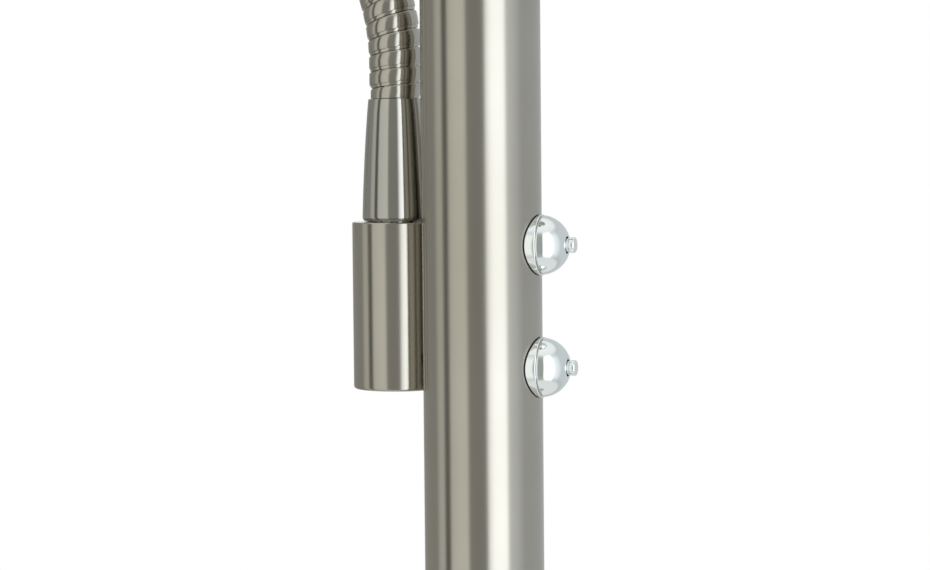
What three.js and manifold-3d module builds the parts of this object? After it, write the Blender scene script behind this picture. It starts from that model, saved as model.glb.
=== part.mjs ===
// Torchiere floor lamp with a gooseneck reading arm.
// A weighted round foot carries a brushed steel column in three screwed sections, with an open
// uplighter bowl on top. A cup on the column's back (-X) holds the tapered ferrule of a strip-wound
// gooseneck with a small reading spot, and two domed push switches face the other way (+X).
// Millimetres, +Z up, origin on the floor on the column's axis.
import * as THREE from "three";
import { mergeVertices } from "three/addons/utils/BufferGeometryUtils.js";
import Module from "manifold-3d";

const wasm = await Module();
wasm.setup();

// ---- driving dimensions -------------------------------------------------------------------

const GAP = 0.3; // clearance between pieces that touch
const BORE_CLEARANCE = 0.3; // radial clearance of a hole round what passes through it
const SADDLE_CLEARANCE = 0.15; // between the curved backs of a switch's pieces and the column

const base = {
  radius: 140,
  wall: 1.2,
  rimHeight: 14, // top of the cover's upright rim
  rimRadius: 9, // rounding between the rim and the top
  crown: 3, // rise from the rounding to the middle
  rimLift: 0.5, // the cover's edge stays this far off the floor
  padThickness: 2,
  padInset: 10,
  recessRadius: 18, // room under the weight for washer and nut
  recessDepth: 12.8,
  grooveWidth: 6, // channel for the mains flex
  grooveHeight: 6.7,
};
const stud = { radius: 5, bore: 3.5, bottom: 8.5, top: 50 };
const hexNut = { acrossFlats: 17, height: 4.5 };
const pole = { radius: 16, wall: 1.2, top: 1690, sections: 3, sides: 40 };
const coupler = { length: 60, bore: 9 };
const plugLength = 18;
const flex = { radius: 2, bend: 5 };

const holder = {
  rise: 105, // from the foot of the upper tube to the middle of the cup
  radius: 12.4,
  turn: 19, // degrees round the column from straight behind the switches
  length: 45.5,
  bore: 8.9,
  boreDepth: 38,
  edge: 0.8, // rounding of the cup's bottom edge
  nippleDrop: 14, // the wire nipple sits this far below the middle
};
const nipple = { radius: 4, bore: 2.6, nutHeight: 2 };
const ferrule = {
  bottomRadius: 9.5,
  middleRadius: 8.82, // the taper bulges a little
  topRadius: 7.6,
  length: 33.1,
  spigot: 7,
  spigotLength: 30,
};

const gooseneck = {
  radius: 7.1,
  bore: 4.8,
  straight: 9.5, // straight stretch above the ferrule
  rootRadius: 54, // first bend, away from the column
  rootAngle: 30,
  sweepRadius: 165, // long arc that carries the spot outwards and down
  sweepAngle: 115,
  links: 9, // the first link doesn't flex
  linkGap: 1.7,
  shoulder: 2,
  spigot: 4,
  spigotReach: 3.4, // the spigot goes this far back across the joint
  spigotBore: 3.3,
};

const spot = {
  collarRadius: 9.5,
  collarLength: 20,
  backRadius: 20,
  mouthRadius: 34,
  length: 82,
  wall: 1,
  holderRadius: 12.5,
  holderLength: 16,
  bulbRadius: 25,
  bulbLength: 44,
  bulbInset: 16, // the bulb's face sits this far inside the mouth
};

const knob = {
  spacing: 32.5, // between the two switches
  lift: 0.7, // of the point halfway between them above the middle of the cup
  gasket: 0.25, // thickness of the rubber between the column and the ring
  ringRadius: 8.05,
  ringCrown: 0.4, // the ring's least thickness, where it meets the column's crown
  domeSink: 0.45, // the dome's centre lies this far behind the ring's front
  domeRadius: 7.75,
  holeRadius: 2.4,
  buttonRadius: 2.07,
  buttonReach: 1.55, // out of the dome
  bushingRadius: 5,
  bushingBore: 2.5,
};
const switchBody = { inset: 6.3, length: 15.7, width: 17, height: 22, bore: 2.7, boreDepth: 9.7 };
const spring = { radius: 1.9, wire: 0.28, turns: 4, length: 4.7 };

const neck = { length: 26, topRadius: 27 };
const bowl = { radius: 140, depth: 84, wall: 1.2, flatRadius: 45 };
const lightEngine = { radius: 42, sinkHeight: 14, fins: 28, boardRadius: 36, coverHeight: 19 };
const driver = { width: 21, depth: 17, length: 110, drop: 160 }; // drop from the column's top

// ---- heights and places worked out from them ----------------------------------------------

const boreFor = (radius) => radius + BORE_CLEARANCE;
const baseTop = base.rimHeight + base.rimRadius + base.crown;
const poleFoot = baseTop + GAP;
const poleBore = pole.radius - pole.wall;
const sectionLength = (pole.top - poleFoot - (pole.sections - 1) * GAP) / pole.sections;
const sectionFoot = (n) => poleFoot + n * (sectionLength + GAP);
const holderX = -(pole.radius + GAP + holder.radius);
const holderHeight = sectionFoot(pole.sections - 1) + holder.rise;
const holderTop = holderHeight + holder.length / 2;
const ferruleFoot = holderTop + GAP;
const ferruleTop = ferruleFoot + ferrule.length;
const gasketBack = pole.radius + SADDLE_CLEARANCE; // radii about the column's axis
const gasketFront = gasketBack + knob.gasket;
const ringBack = gasketFront + SADDLE_CLEARANCE;
const ringFront = ringBack + knob.ringCrown; // from the column's axis, along the switch's own
const domeCentre = ringFront - knob.domeSink;
const switchFront = pole.radius - switchBody.inset;
const switchBack = switchFront - switchBody.length;
const wellEnd = switchFront - switchBody.boreDepth;
const neckFoot = pole.top + GAP;
const bowlFoot = neckFoot + neck.length + GAP;

// ---- materials ----------------------------------------------------------------------------

const finish = (color, roughness, metalness) =>
  new THREE.MeshStandardMaterial({ color, roughness, metalness });
const brushedSteel = finish(0xb4b1a6, 0.32, 1);
const chrome = finish(0xd9dcdc, 0.06, 1);
const castIron = finish(0x3b3b3a, 0.8, 0.4);
const zincSteel = finish(0xa9abad, 0.45, 1);
const felt = finish(0x2a2a2b, 1, 0);
const blackRubber = finish(0x161616, 0.75, 0);
const blackPlastic = finish(0x1d1e20, 0.5, 0);
const whiteEnamel = finish(0xf4f3ee, 0.4, 0);
const opalAcrylic = finish(0xf7f5ee, 0.3, 0);
const castAluminium = finish(0xb9bbbd, 0.5, 1);
const ceramic = finish(0xeceae4, 0.55, 0);
const lampGlass = finish(0xe9eef0, 0.08, 0);
const brass = finish(0xc2a15a, 0.3, 1);

// ---- helpers ------------------------------------------------------------------------------

const lamp = new THREE.Group();

// The holder and the whole arm are made in the XZ plane, then turned round the column together.
const armTurn = -THREE.MathUtils.degToRad(holder.turn);
const armSide = new THREE.Group();
armSide.rotation.z = armTurn;
lamp.add(armSide);

function add(name, geometry, material, parent = lamp) {
  const mesh = new THREE.Mesh(geometry, material);
  mesh.name = name;
  parent.add(mesh);
  return mesh;
}

// A solid of revolution about Z from [radius, height] points. The outline closes on itself, or
// starts and ends on the axis.
function revolve(outline, sides = 28) {
  const points = outline.map(([r, z]) => new THREE.Vector2(r, z));
  const onAxis = outline[0][0] === 0 && outline.at(-1)[0] === 0;
  if (THREE.ShapeUtils.area(points) < 0) points.reverse();
  if (!onAxis) points.push(points[0].clone());
  const geometry = new THREE.LatheGeometry(points, sides);
  return geometry.rotateX(Math.PI / 2);
}

const tube = (outer, inner, bottom, top, sides = 24) =>
  revolve([[inner, bottom], [outer, bottom], [outer, top], [inner, top]], sides);

const rod = (radius, bottom, top, sides = 24) =>
  revolve([[0, bottom], [radius, bottom], [radius, top], [0, top]], sides);

// Turns something built along +Z so that it points along +X.
const alongX = (geometry) => geometry.rotateY(Math.PI / 2);

const block = (x0, x1, y0, y1, z0, z1) =>
  new THREE.BoxGeometry(x1 - x0, y1 - y0, z1 - z0).translate(
    (x0 + x1) / 2, (y0 + y1) / 2, (z0 + z1) / 2);

// Points of a circular arc in an outline, angles in degrees from the outline's +radius direction.
function arc(centreR, centreZ, radius, from, to, steps) {
  return Array.from({ length: steps + 1 }, (_, i) => {
    const angle = THREE.MathUtils.degToRad(from + ((to - from) * i) / steps);
    return [centreR + radius * Math.cos(angle), centreZ + radius * Math.sin(angle)];
  });
}

function toSolid(geometry) {
  const bare = geometry.index ? geometry.toNonIndexed() : geometry.clone();
  bare.deleteAttribute("normal");
  bare.deleteAttribute("uv");
  const merged = mergeVertices(bare, 1e-3);
  return new wasm.Manifold(new wasm.Mesh({
    numProp: 3,
    vertProperties: merged.attributes.position.array,
    triVerts: new Uint32Array(merged.index.array),
  }));
}

function toGeometry(solid) {
  const mesh = solid.getMesh();
  const geometry = new THREE.BufferGeometry();
  geometry.setAttribute("position", new THREE.BufferAttribute(mesh.vertProperties, 3));
  geometry.setIndex(new THREE.BufferAttribute(mesh.triVerts, 1));
  geometry.computeVertexNormals();
  return geometry;
}

const cut = (geometry, ...tools) =>
  toGeometry(tools.reduce((solid, tool) => solid.subtract(toSolid(tool)), toSolid(geometry)));

function hexagon(acrossFlats, bore, bottom, height) {
  const shape = new THREE.Shape(Array.from({ length: 6 }, (_, i) => {
    const angle = (i * Math.PI) / 3;
    const corner = acrossFlats / Math.sqrt(3);
    return new THREE.Vector2(corner * Math.cos(angle), corner * Math.sin(angle));
  }));
  const hole = new THREE.Path();
  hole.absarc(0, 0, bore, 0, 2 * Math.PI, true);
  shape.holes.push(hole);
  const settings = { depth: height, bevelEnabled: false, curveSegments: 12 };
  return new THREE.ExtrudeGeometry(shape, settings).translate(0, 0, bottom);
}

// A centreline in one plane, made of straight stretches and arcs. It sets off along `ahead` and
// turns towards `side`; each stretch has its length and the angle that it turns through.
class Route {
  constructor(start, ahead, side, stretches) {
    this.start = start;
    this.ahead = ahead;
    this.side = side;
    this.across = new THREE.Vector3().crossVectors(ahead, side);
    this.stretches = stretches;
    this.length = stretches.reduce((sum, stretch) => sum + stretch.length, 0);
  }

  // The place at a distance along the centreline, and how far it has turned by then.
  at(distance) {
    const point = this.start.clone();
    let turned = 0;
    let left = distance;
    this.stretches.forEach(({ length, turn }, n) => {
      const last = n === this.stretches.length - 1;
      const walked = last ? left : Math.min(left, length);
      const bend = (turn * walked) / length;
      const chord = bend ? (2 * walked * Math.sin(bend / 2)) / bend : walked;
      point.addScaledVector(this.ahead, chord * Math.cos(turned + bend / 2));
      point.addScaledVector(this.side, chord * Math.sin(turned + bend / 2));
      turned += bend;
      left -= walked;
    });
    return { point, turned };
  }
}

// A solid of revolution whose axis follows a route: its outline has [radius, distance] points.
function revolveAlong(route, outline, sides = 14) {
  const flat = outline.map(([r, d]) => new THREE.Vector2(r, d));
  const ordered = THREE.ShapeUtils.area(flat) < 0 ? [...outline].reverse() : outline;
  const rings = ordered.map(([radius, distance]) => {
    const { point, turned } = route.at(distance);
    const outwards = route.side.clone().multiplyScalar(Math.cos(turned))
      .addScaledVector(route.ahead, -Math.sin(turned));
    return Array.from({ length: sides }, (_, k) => {
      const angle = (2 * Math.PI * k) / sides;
      return point.clone()
        .addScaledVector(outwards, radius * Math.cos(angle))
        .addScaledVector(route.across, radius * Math.sin(angle));
    });
  });
  const corners = [];
  rings.forEach((ring, i) => {
    const j = (i + 1) % rings.length;
    const [here, there] = [ordered[i][0], ordered[j][0]];
    ring.forEach((_, k) => {
      const next = (k + 1) % sides;
      if (here) corners.push(ring[k], ring[next], rings[j][next]);
      if (there) corners.push(ring[k], rings[j][next], rings[j][k]);
    });
  });
  return new THREE.BufferGeometry().setFromPoints(corners);
}

// Distances from one to another in equal steps, both ends included.
const spaced = (from, to, steps) =>
  Array.from({ length: steps + 1 }, (_, i) => from + ((to - from) * i) / steps);

// ---- foot ---------------------------------------------------------------------------------

// The outline of the cover's outer skin, or of its inner one when inset by the wall.
function coverSkin(inset) {
  return [
    [base.radius - inset, base.rimLift],
    ...arc(base.radius - base.rimRadius, base.rimHeight, base.rimRadius - inset, 0, 90, 4),
    [(base.radius - base.rimRadius) / 2, baseTop - inset - base.crown / 4],
    [boreFor(stud.radius), baseTop - inset],
  ];
}

function makeFoot() {
  const inletHeight = base.padThickness + flex.radius + 2;
  const grommetRadius = flex.radius + 1.6;
  const wallMiddle = base.radius - base.wall / 2;
  const acrossWall = (geometry) => geometry.rotateX(-Math.PI / 2).translate(0, 0, inletHeight);

  add("base_pad", rod(base.radius - base.padInset, 0, base.padThickness), felt);

  const weightFoot = base.padThickness + GAP;
  const weightRadius = base.radius - base.wall - GAP - 2.5;
  const weightTop = baseTop - base.crown - base.wall - 2 * GAP;
  const weight = revolve([
    [boreFor(stud.radius), weightFoot],
    [weightRadius, weightFoot],
    [weightRadius, base.rimHeight],
    [base.radius - base.rimRadius, weightTop],
    [boreFor(stud.radius), weightTop],
  ]);
  const recessTop = weightFoot + base.recessDepth;
  add("base_weight", cut(
    weight,
    rod(base.recessRadius, 0, recessTop),
    block(-base.grooveWidth / 2, base.grooveWidth / 2, 0, base.radius,
      0, weightFoot + base.grooveHeight),
  ), castIron);

  const cover = revolve([...coverSkin(0), ...coverSkin(base.wall).reverse()], 48);
  const inletHole = acrossWall(rod(boreFor(grommetRadius), wallMiddle - 4, wallMiddle + 4, 16));
  add("base_cover", cut(cover, inletHole), brushedSteel);

  const flange = grommetRadius + 1.2;
  const grommet = revolve([
    [boreFor(flex.radius), wallMiddle - 2.4],
    [flange - 0.6, wallMiddle - 2.4],
    [flange - 0.6, wallMiddle - 1.1],
    [grommetRadius, wallMiddle - 1.1],
    [grommetRadius, wallMiddle + 1.1],
    [flange, wallMiddle + 1.1],
    [flange, wallMiddle + 2.2],
    [boreFor(flex.radius), wallMiddle + 2.8],
  ], 16);
  add("cord_grommet", acrossWall(grommet), blackRubber);

  add("base_stud", tube(stud.radius, stud.bore, stud.bottom, stud.top, 20), zincSteel);
  const washerTop = recessTop - GAP;
  add("base_washer", tube(12, boreFor(stud.radius), washerTop - 1.5, washerTop, 24), zincSteel);
  const nutBottom = washerTop - 1.5 - GAP - hexNut.height;
  add("base_nut",
    hexagon(hexNut.acrossFlats, boreFor(stud.radius), nutBottom, hexNut.height), zincSteel);

  const collarBore = boreFor(pole.radius);
  add("pole_foot_collar", revolve([
    [collarBore, poleFoot],
    [24, poleFoot],
    [24, poleFoot + 4],
    ...arc(20, poleFoot + 4, 4, 0, 90, 4),
    [collarBore, poleFoot + 8],
  ]), brushedSteel);

  // The mains flex runs from the grommet along the groove and up through the stud.
  const run = wallMiddle - 2.4 - flex.bend;
  const quarter = (Math.PI / 2) * flex.bend;
  const flexTop = switchHeights()[1] - switchBody.height / 2 - 6;
  const route = new Route(
    new THREE.Vector3(0, wallMiddle - 2.4, inletHeight),
    new THREE.Vector3(0, -1, 0),
    new THREE.Vector3(0, 0, 1),
    [
      { length: run, turn: 0 },
      { length: quarter, turn: Math.PI / 2 },
      { length: flexTop - inletHeight - flex.bend, turn: 0 },
    ]);
  add("mains_flex", revolveAlong(route, [
    [0, 0],
    [flex.radius, 0],
    ...spaced(run, run + quarter, 5).map((distance) => [flex.radius, distance]),
    [flex.radius, route.length],
    [0, route.length],
  ], 8), blackPlastic);
}

// ---- column -------------------------------------------------------------------------------

function makeColumn() {
  const names = ["lower_pole_tube", "middle_pole_tube", "upper_pole_tube"];
  names.forEach((name, n) => {
    const foot = sectionFoot(n);
    const section = tube(pole.radius, poleBore, foot, foot + sectionLength, pole.sides);
    const holes = n === pole.sections - 1 ? columnHoles() : [];
    add(name, holes.length ? cut(section, ...holes) : section, brushedSteel);
  });
  const inside = poleBore - GAP;
  const studBore = boreFor(stud.radius);
  add("pole_foot_plug", tube(inside, studBore, poleFoot + GAP, poleFoot + plugLength), zincSteel);
  for (let n = 1; n < pole.sections; n++) {
    const middle = sectionFoot(n) - GAP / 2;
    const half = coupler.length / 2;
    const name = n === 1 ? "lower_pole_coupler" : "upper_pole_coupler";
    add(name, tube(inside, coupler.bore, middle - half, middle + half), zincSteel);
  }
  add("pole_top_plug", tube(inside, studBore, pole.top - plugLength, pole.top - GAP), zincSteel);
  const driverTop = pole.top - driver.drop;
  add("led_driver", block(-driver.width / 2, driver.width / 2, -driver.depth / 2,
    driver.depth / 2, driverTop - driver.length, driverTop), blackPlastic);
}

// Holes in the upper tube for the switch bushings and for the wire nipple.
function columnHoles() {
  const switchHoles = switchHeights().map((height) =>
    alongX(rod(boreFor(knob.bushingRadius), 0, pole.radius + 4, 20)).translate(0, 0, height));
  const nippleHole = alongX(rod(boreFor(nipple.radius), -pole.radius - 4, 0, 20))
    .translate(0, 0, holderHeight - holder.nippleDrop).rotateZ(armTurn);
  return [...switchHoles, nippleHole];
}

// ---- push switches ------------------------------------------------------------------------

function switchHeights() {
  const middle = holderHeight + knob.lift;
  return [middle + knob.spacing / 2, middle - knob.spacing / 2];
}

function makeSwitch(prefix, height) {
  const place = (geometry) => alongX(geometry).translate(0, 0, height);
  const bore = boreFor(knob.bushingRadius);

  const low = height - 20;
  const high = height + 20;
  const deep = pole.radius - 6; // well inside the column, before the saddle is cut
  const gasket = place(tube(knob.ringRadius - 0.05, bore, deep, ringFront + 2, 24));
  add(`${prefix}_switch_washer`, cut(gasket, rod(gasketBack, low, high, pole.sides),
    tube(pole.radius * 2, gasketFront, low, high, pole.sides)), blackRubber);

  const ring = place(revolve([
    [bore, deep],
    [knob.ringRadius, deep],
    [knob.ringRadius, ringFront - 0.15],
    [knob.ringRadius - 0.15, ringFront],
    [bore, ringFront],
  ], 24));
  add(`${prefix}_switch_ring`, cut(ring, rod(ringBack, low, high, pole.sides)), chrome);

  const seam = ringFront + GAP;
  const apex = domeCentre + knob.domeRadius;
  const seamAngle = THREE.MathUtils.radToDeg(Math.asin((seam - domeCentre) / knob.domeRadius));
  const holeAngle = THREE.MathUtils.radToDeg(Math.acos(knob.holeRadius / knob.domeRadius));
  add(`${prefix}_switch_dome`, place(revolve([
    [bore, seam],
    ...arc(0, domeCentre, knob.domeRadius, seamAngle, holeAngle, 7),
    [knob.holeRadius, apex - 2.4],
    [bore, ringFront + 3],
  ], 24)), chrome);

  const tail = wellEnd + spring.length + 3 * GAP;
  const tip = apex + knob.buttonReach;
  add(`${prefix}_switch_button`, place(revolve([
    [0, tail],
    [knob.buttonRadius, tail],
    [knob.buttonRadius, tip - 0.6],
    [knob.buttonRadius - 0.5, tip - 0.1],
    [0, tip],
  ], 20)), chrome);

  add(`${prefix}_switch_bushing`, place(tube(knob.bushingRadius, knob.bushingBore,
    switchFront + GAP, ringFront + 2.6, 20)), brass);
  add(`${prefix}_switch_nut`, place(hexagon(13, bore, switchFront + 2 * GAP, 2)), zincSteel);

  const half = switchBody.width / 2;
  const housing = block(switchBack, switchFront, -half, half,
    height - switchBody.height / 2, height + switchBody.height / 2);
  const well = place(rod(switchBody.bore, wellEnd, switchFront + 5, 16));
  add(`${prefix}_switch_body`, cut(housing, well), blackPlastic);
  add(`${prefix}_switch_spring`, place(springCoil(wellEnd + GAP)), zincSteel);
}

// A compression spring that stands at a height, as a wire on a helix.
function springCoil(bottom) {
  const { radius, wire, turns, length } = spring;
  class Helix extends THREE.Curve {
    getPoint(t, target = new THREE.Vector3()) {
      const angle = 2 * Math.PI * turns * t;
      const height = bottom + wire + (length - 2 * wire) * t;
      return target.set(radius * Math.cos(angle), radius * Math.sin(angle), height);
    }
  }
  const section = new THREE.Shape(Array.from({ length: 4 }, (_, i) =>
    new THREE.Vector2(wire, 0).rotateAround(new THREE.Vector2(), (i * Math.PI) / 2)));
  const settings = { steps: turns * 8, extrudePath: new Helix(), bevelEnabled: false };
  return new THREE.ExtrudeGeometry(section, settings);
}

// ---- reading arm --------------------------------------------------------------------------

function makeHolder() {
  const foot = holderHeight - holder.length / 2;
  const boreFoot = holderTop - holder.boreDepth;
  const cup = revolve([
    [0, foot],
    ...arc(holder.radius - holder.edge, foot + holder.edge, holder.edge, -90, 0, 4),
    [holder.radius, holderTop],
    [holder.bore, holderTop],
    [holder.bore, boreFoot],
    [0, boreFoot],
  ], 28).translate(holderX, 0, 0);
  const nippleHeight = holderHeight - holder.nippleDrop;
  const nippleHole = alongX(rod(boreFor(nipple.radius), holderX, 0, 20))
    .translate(0, 0, nippleHeight);
  const screwHeight = holderHeight + 5;
  const screwHole = rod(1.8, 0, 30, 12).rotateX(-Math.PI / 2).translate(holderX, 0, screwHeight);
  add("arm_holder_cup", cut(cup, nippleHole, screwHole), brushedSteel, armSide);

  const inner = switchBack - 4;
  add("wire_nipple", alongX(tube(nipple.radius, nipple.bore, holderX + holder.bore - 1, inner, 16))
    .translate(0, 0, nippleHeight), brass, armSide);
  add("wire_nipple_nut", alongX(hexagon(10, boreFor(nipple.radius), inner - 3, nipple.nutHeight))
    .translate(0, 0, nippleHeight), zincSteel, armSide);

  const bushFoot = holderTop - ferrule.spigotLength - 1;
  const bush = tube(holder.bore - GAP, boreFor(ferrule.spigot), bushFoot, holderTop - GAP, 32)
    .translate(holderX, 0, 0);
  add("arm_swivel_bush", cut(bush, screwHole), blackPlastic, armSide);
  add("arm_grub_screw", rod(1.5, ferrule.spigot - 1, holder.radius - 0.4, 12)
    .rotateX(-Math.PI / 2).translate(holderX, 0, screwHeight), zincSteel, armSide);

  // The spigot has a groove that the grub screw runs in, so the arm turns but can't be pulled out.
  const groove = { half: 2, depth: 1.5 };
  add("arm_ferrule", revolve([
    [gooseneck.spigotBore, holderTop - ferrule.spigotLength],
    [ferrule.spigot, holderTop - ferrule.spigotLength],
    [ferrule.spigot, screwHeight - groove.half],
    [ferrule.spigot - groove.depth, screwHeight - groove.half],
    [ferrule.spigot - groove.depth, screwHeight + groove.half],
    [ferrule.spigot, screwHeight + groove.half],
    [ferrule.spigot, ferruleFoot],
    [ferrule.bottomRadius - 0.5, ferruleFoot],
    [ferrule.bottomRadius, ferruleFoot + 0.8],
    [ferrule.middleRadius, (ferruleFoot + ferruleTop) / 2],
    [ferrule.topRadius, ferruleTop],
    [gooseneck.spigotBore, ferruleTop],
  ], 28).translate(holderX, 0, 0), brushedSteel, armSide);
}

// The arm's centreline: straight, a short bend outwards, then the long arc that carries the spot
// over and down. Distances run along it from the top of the ferrule.
const rootTurn = THREE.MathUtils.degToRad(gooseneck.rootAngle);
const sweepTurn = THREE.MathUtils.degToRad(gooseneck.sweepAngle);
const arm = new Route(
  new THREE.Vector3(holderX, 0, ferruleTop),
  new THREE.Vector3(0, 0, 1),
  new THREE.Vector3(-1, 0, 0),
  [
    { length: gooseneck.straight, turn: 0 },
    { length: gooseneck.rootRadius * rootTurn, turn: rootTurn },
    { length: gooseneck.sweepRadius * sweepTurn, turn: sweepTurn },
  ]);

// Where the links meet: the first holds the root bend, and the others share the long arc.
function linkEnds() {
  const root = arm.stretches[0].length + arm.stretches[1].length;
  return [0, ...spaced(root, arm.length, gooseneck.links - 1)];
}

function makeGooseneck() {
  const ends = linkEnds();
  const halfGap = gooseneck.linkGap / 2;
  const { radius, bore, shoulder, spigot, spigotReach, spigotBore } = gooseneck;
  for (let n = 0; n < gooseneck.links; n++) {
    const first = n === 0;
    const from = ends[n] + (first ? GAP : halfGap);
    const to = ends[n + 1] - (n === gooseneck.links - 1 ? GAP : halfGap);
    const steps = 4;
    // A short spigot reaches back across the joint into the link before.
    const rear = first ? [] : [
      [bore, from + shoulder],
      [spigotBore, from + shoulder],
      [spigotBore, from - spigotReach],
      [spigot, from - spigotReach],
      [spigot, from],
    ];
    const innerFoot = first ? from : from + shoulder;
    const inside = spaced(to, innerFoot, steps).map((distance) => [bore, distance]);
    add(`gooseneck_link_${n + 1}`, revolveAlong(arm, [
      ...spaced(from, to, steps).map((distance) => [radius, distance]),
      ...(first ? inside : inside.slice(0, -1)),
      ...rear,
    ]), brushedSteel, armSide);
  }
}

function makeSpot() {
  const end = arm.at(arm.length);
  const head = new THREE.Group();
  head.position.copy(end.point);
  head.rotation.y = -end.turned;
  armSide.add(head);

  add("spot_collar", revolve([
    [gooseneck.spigotBore, 0],
    [spot.collarRadius - 1.2, 0],
    [spot.collarRadius, 1.2],
    [spot.collarRadius, spot.collarLength],
    [gooseneck.spigotBore, spot.collarLength],
  ], 24), brushedSteel, head);

  const back = spot.collarLength + GAP;
  const mouth = back + spot.length;
  const shoulder = 7;
  add("spot_shade", revolve([
    [gooseneck.spigotBore, back],
    [spot.backRadius - 4, back],
    [spot.backRadius, back + shoulder],
    [spot.mouthRadius, mouth],
    [spot.mouthRadius - spot.wall, mouth],
    [spot.backRadius - spot.wall, back + shoulder + spot.wall / 2],
    [spot.backRadius - 4 - spot.wall / 2, back + spot.wall],
    [gooseneck.spigotBore, back + spot.wall],
  ], 32), brushedSteel, head);

  const holderFoot = back + spot.wall + GAP;
  const holderEnd = holderFoot + spot.holderLength;
  add("spot_lampholder", revolve([
    [gooseneck.spigotBore, holderFoot],
    [spot.holderRadius - 3, holderFoot],
    [spot.holderRadius, holderFoot + 5],
    [spot.holderRadius, holderEnd],
    [gooseneck.spigotBore, holderEnd],
  ], 24), ceramic, head);

  const bulbEnd = mouth - spot.bulbInset;
  const bulbFoot = bulbEnd - spot.bulbLength;
  add("spot_bulb", revolve([
    [0, holderEnd + GAP],
    [8, holderEnd + GAP],
    [8, bulbFoot + 6],
    [spot.bulbRadius - 7, bulbFoot + 18],
    [spot.bulbRadius, bulbEnd - 8],
    [spot.bulbRadius, bulbEnd - 1],
    [spot.bulbRadius - 1.5, bulbEnd],
    [0, bulbEnd + 1.2],
  ], 24), lampGlass, head);
}

// ---- uplighter ----------------------------------------------------------------------------

function makeUplighter() {
  const studBore = boreFor(stud.radius);
  add("bowl_neck", revolve([
    [studBore, neckFoot],
    [pole.radius, neckFoot],
    [pole.radius, neckFoot + 5],
    ...arc(neck.topRadius + 1, neckFoot + 5, neck.topRadius + 1 - pole.radius, 180, 118, 5),
    [neck.topRadius, neckFoot + neck.length - 6],
    [neck.topRadius, neckFoot + neck.length],
    [studBore, neckFoot + neck.length],
  ]), brushedSteel);

  const rim = bowlFoot + bowl.depth;
  const side = new THREE.CubicBezierCurve(
    new THREE.Vector2(bowl.flatRadius, bowlFoot),
    new THREE.Vector2(bowl.radius * 0.72, bowlFoot),
    new THREE.Vector2(bowl.radius * 0.96, bowlFoot + bowl.depth * 0.42),
    new THREE.Vector2(bowl.radius, rim));
  const steps = 7;
  const outer = [];
  const inner = [];
  for (let i = 0; i <= steps; i++) {
    const point = side.getPoint(i / steps);
    const along = side.getTangent(i / steps);
    outer.push([point.x, point.y]);
    inner.push([point.x - along.y * bowl.wall, point.y + along.x * bowl.wall]);
  }
  inner[steps][1] = rim;
  add("uplighter_bowl", revolve([
    [studBore, bowlFoot],
    ...outer,
    ...inner.reverse(),
    [studBore, bowlFoot + bowl.wall],
  ], 48), brushedSteel);

  const sinkFoot = bowlFoot + bowl.wall + GAP;
  const sinkTop = sinkFoot + lightEngine.sinkHeight;
  const fins = new THREE.Shape(Array.from({ length: lightEngine.fins * 4 }, (_, i) => {
    const radius = i % 4 < 2 ? lightEngine.radius : lightEngine.radius - 6;
    const angle = (2 * Math.PI * i) / (lightEngine.fins * 4);
    return new THREE.Vector2(radius * Math.cos(angle), radius * Math.sin(angle));
  }));
  const bore = new THREE.Path();
  bore.absarc(0, 0, studBore, 0, 2 * Math.PI, true);
  fins.holes.push(bore);
  const sink = new THREE.ExtrudeGeometry(fins,
    { depth: lightEngine.sinkHeight, bevelEnabled: false, curveSegments: 10 });
  add("led_heat_sink", sink.translate(0, 0, sinkFoot), castAluminium);

  add("bowl_lock_nut",
    hexagon(hexNut.acrossFlats, studBore, sinkTop + GAP, hexNut.height), zincSteel);
  add("bowl_stud", tube(stud.radius, stud.bore, pole.top - plugLength - 4,
    sinkTop + hexNut.height + 2, 20), zincSteel);
  add("led_board", tube(lightEngine.boardRadius, hexNut.acrossFlats / 2 + 4,
    sinkTop + GAP, sinkTop + GAP + 1.6), whiteEnamel);

  const coverFoot = sinkTop + GAP;
  const coverRadius = lightEngine.radius - 1;
  const coverTop = coverFoot + lightEngine.coverHeight;
  add("led_opal_cover", revolve([
    [coverRadius - 2, coverFoot],
    [coverRadius, coverFoot],
    [coverRadius, coverTop - 8],
    ...arc(coverRadius - 8, coverTop - 8, 8, 20, 80, 3),
    [0, coverTop + 1.5],
    [0, coverTop - 0.5],
    ...arc(coverRadius - 8, coverTop - 8, 6, 80, 20, 3),
    [coverRadius - 2, coverTop - 8],
  ]), opalAcrylic);
}

// ---- assembly -----------------------------------------------------------------------------

makeFoot();
makeColumn();
["upper", "lower"].forEach((prefix, n) => makeSwitch(prefix, switchHeights()[n]));
makeHolder();
makeGooseneck();
makeSpot();
makeUplighter();

export default lamp;
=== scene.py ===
"""A torchiere floor lamp with a gooseneck reading arm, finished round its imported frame.

Sizes are in millimetres and heights come from the frame; Blender's own units are metres.
"""

import logging
import math
from dataclasses import dataclass, field
from enum import Enum
from typing import Callable, Sequence

import bpy
from mathutils import Matrix, Vector


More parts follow.
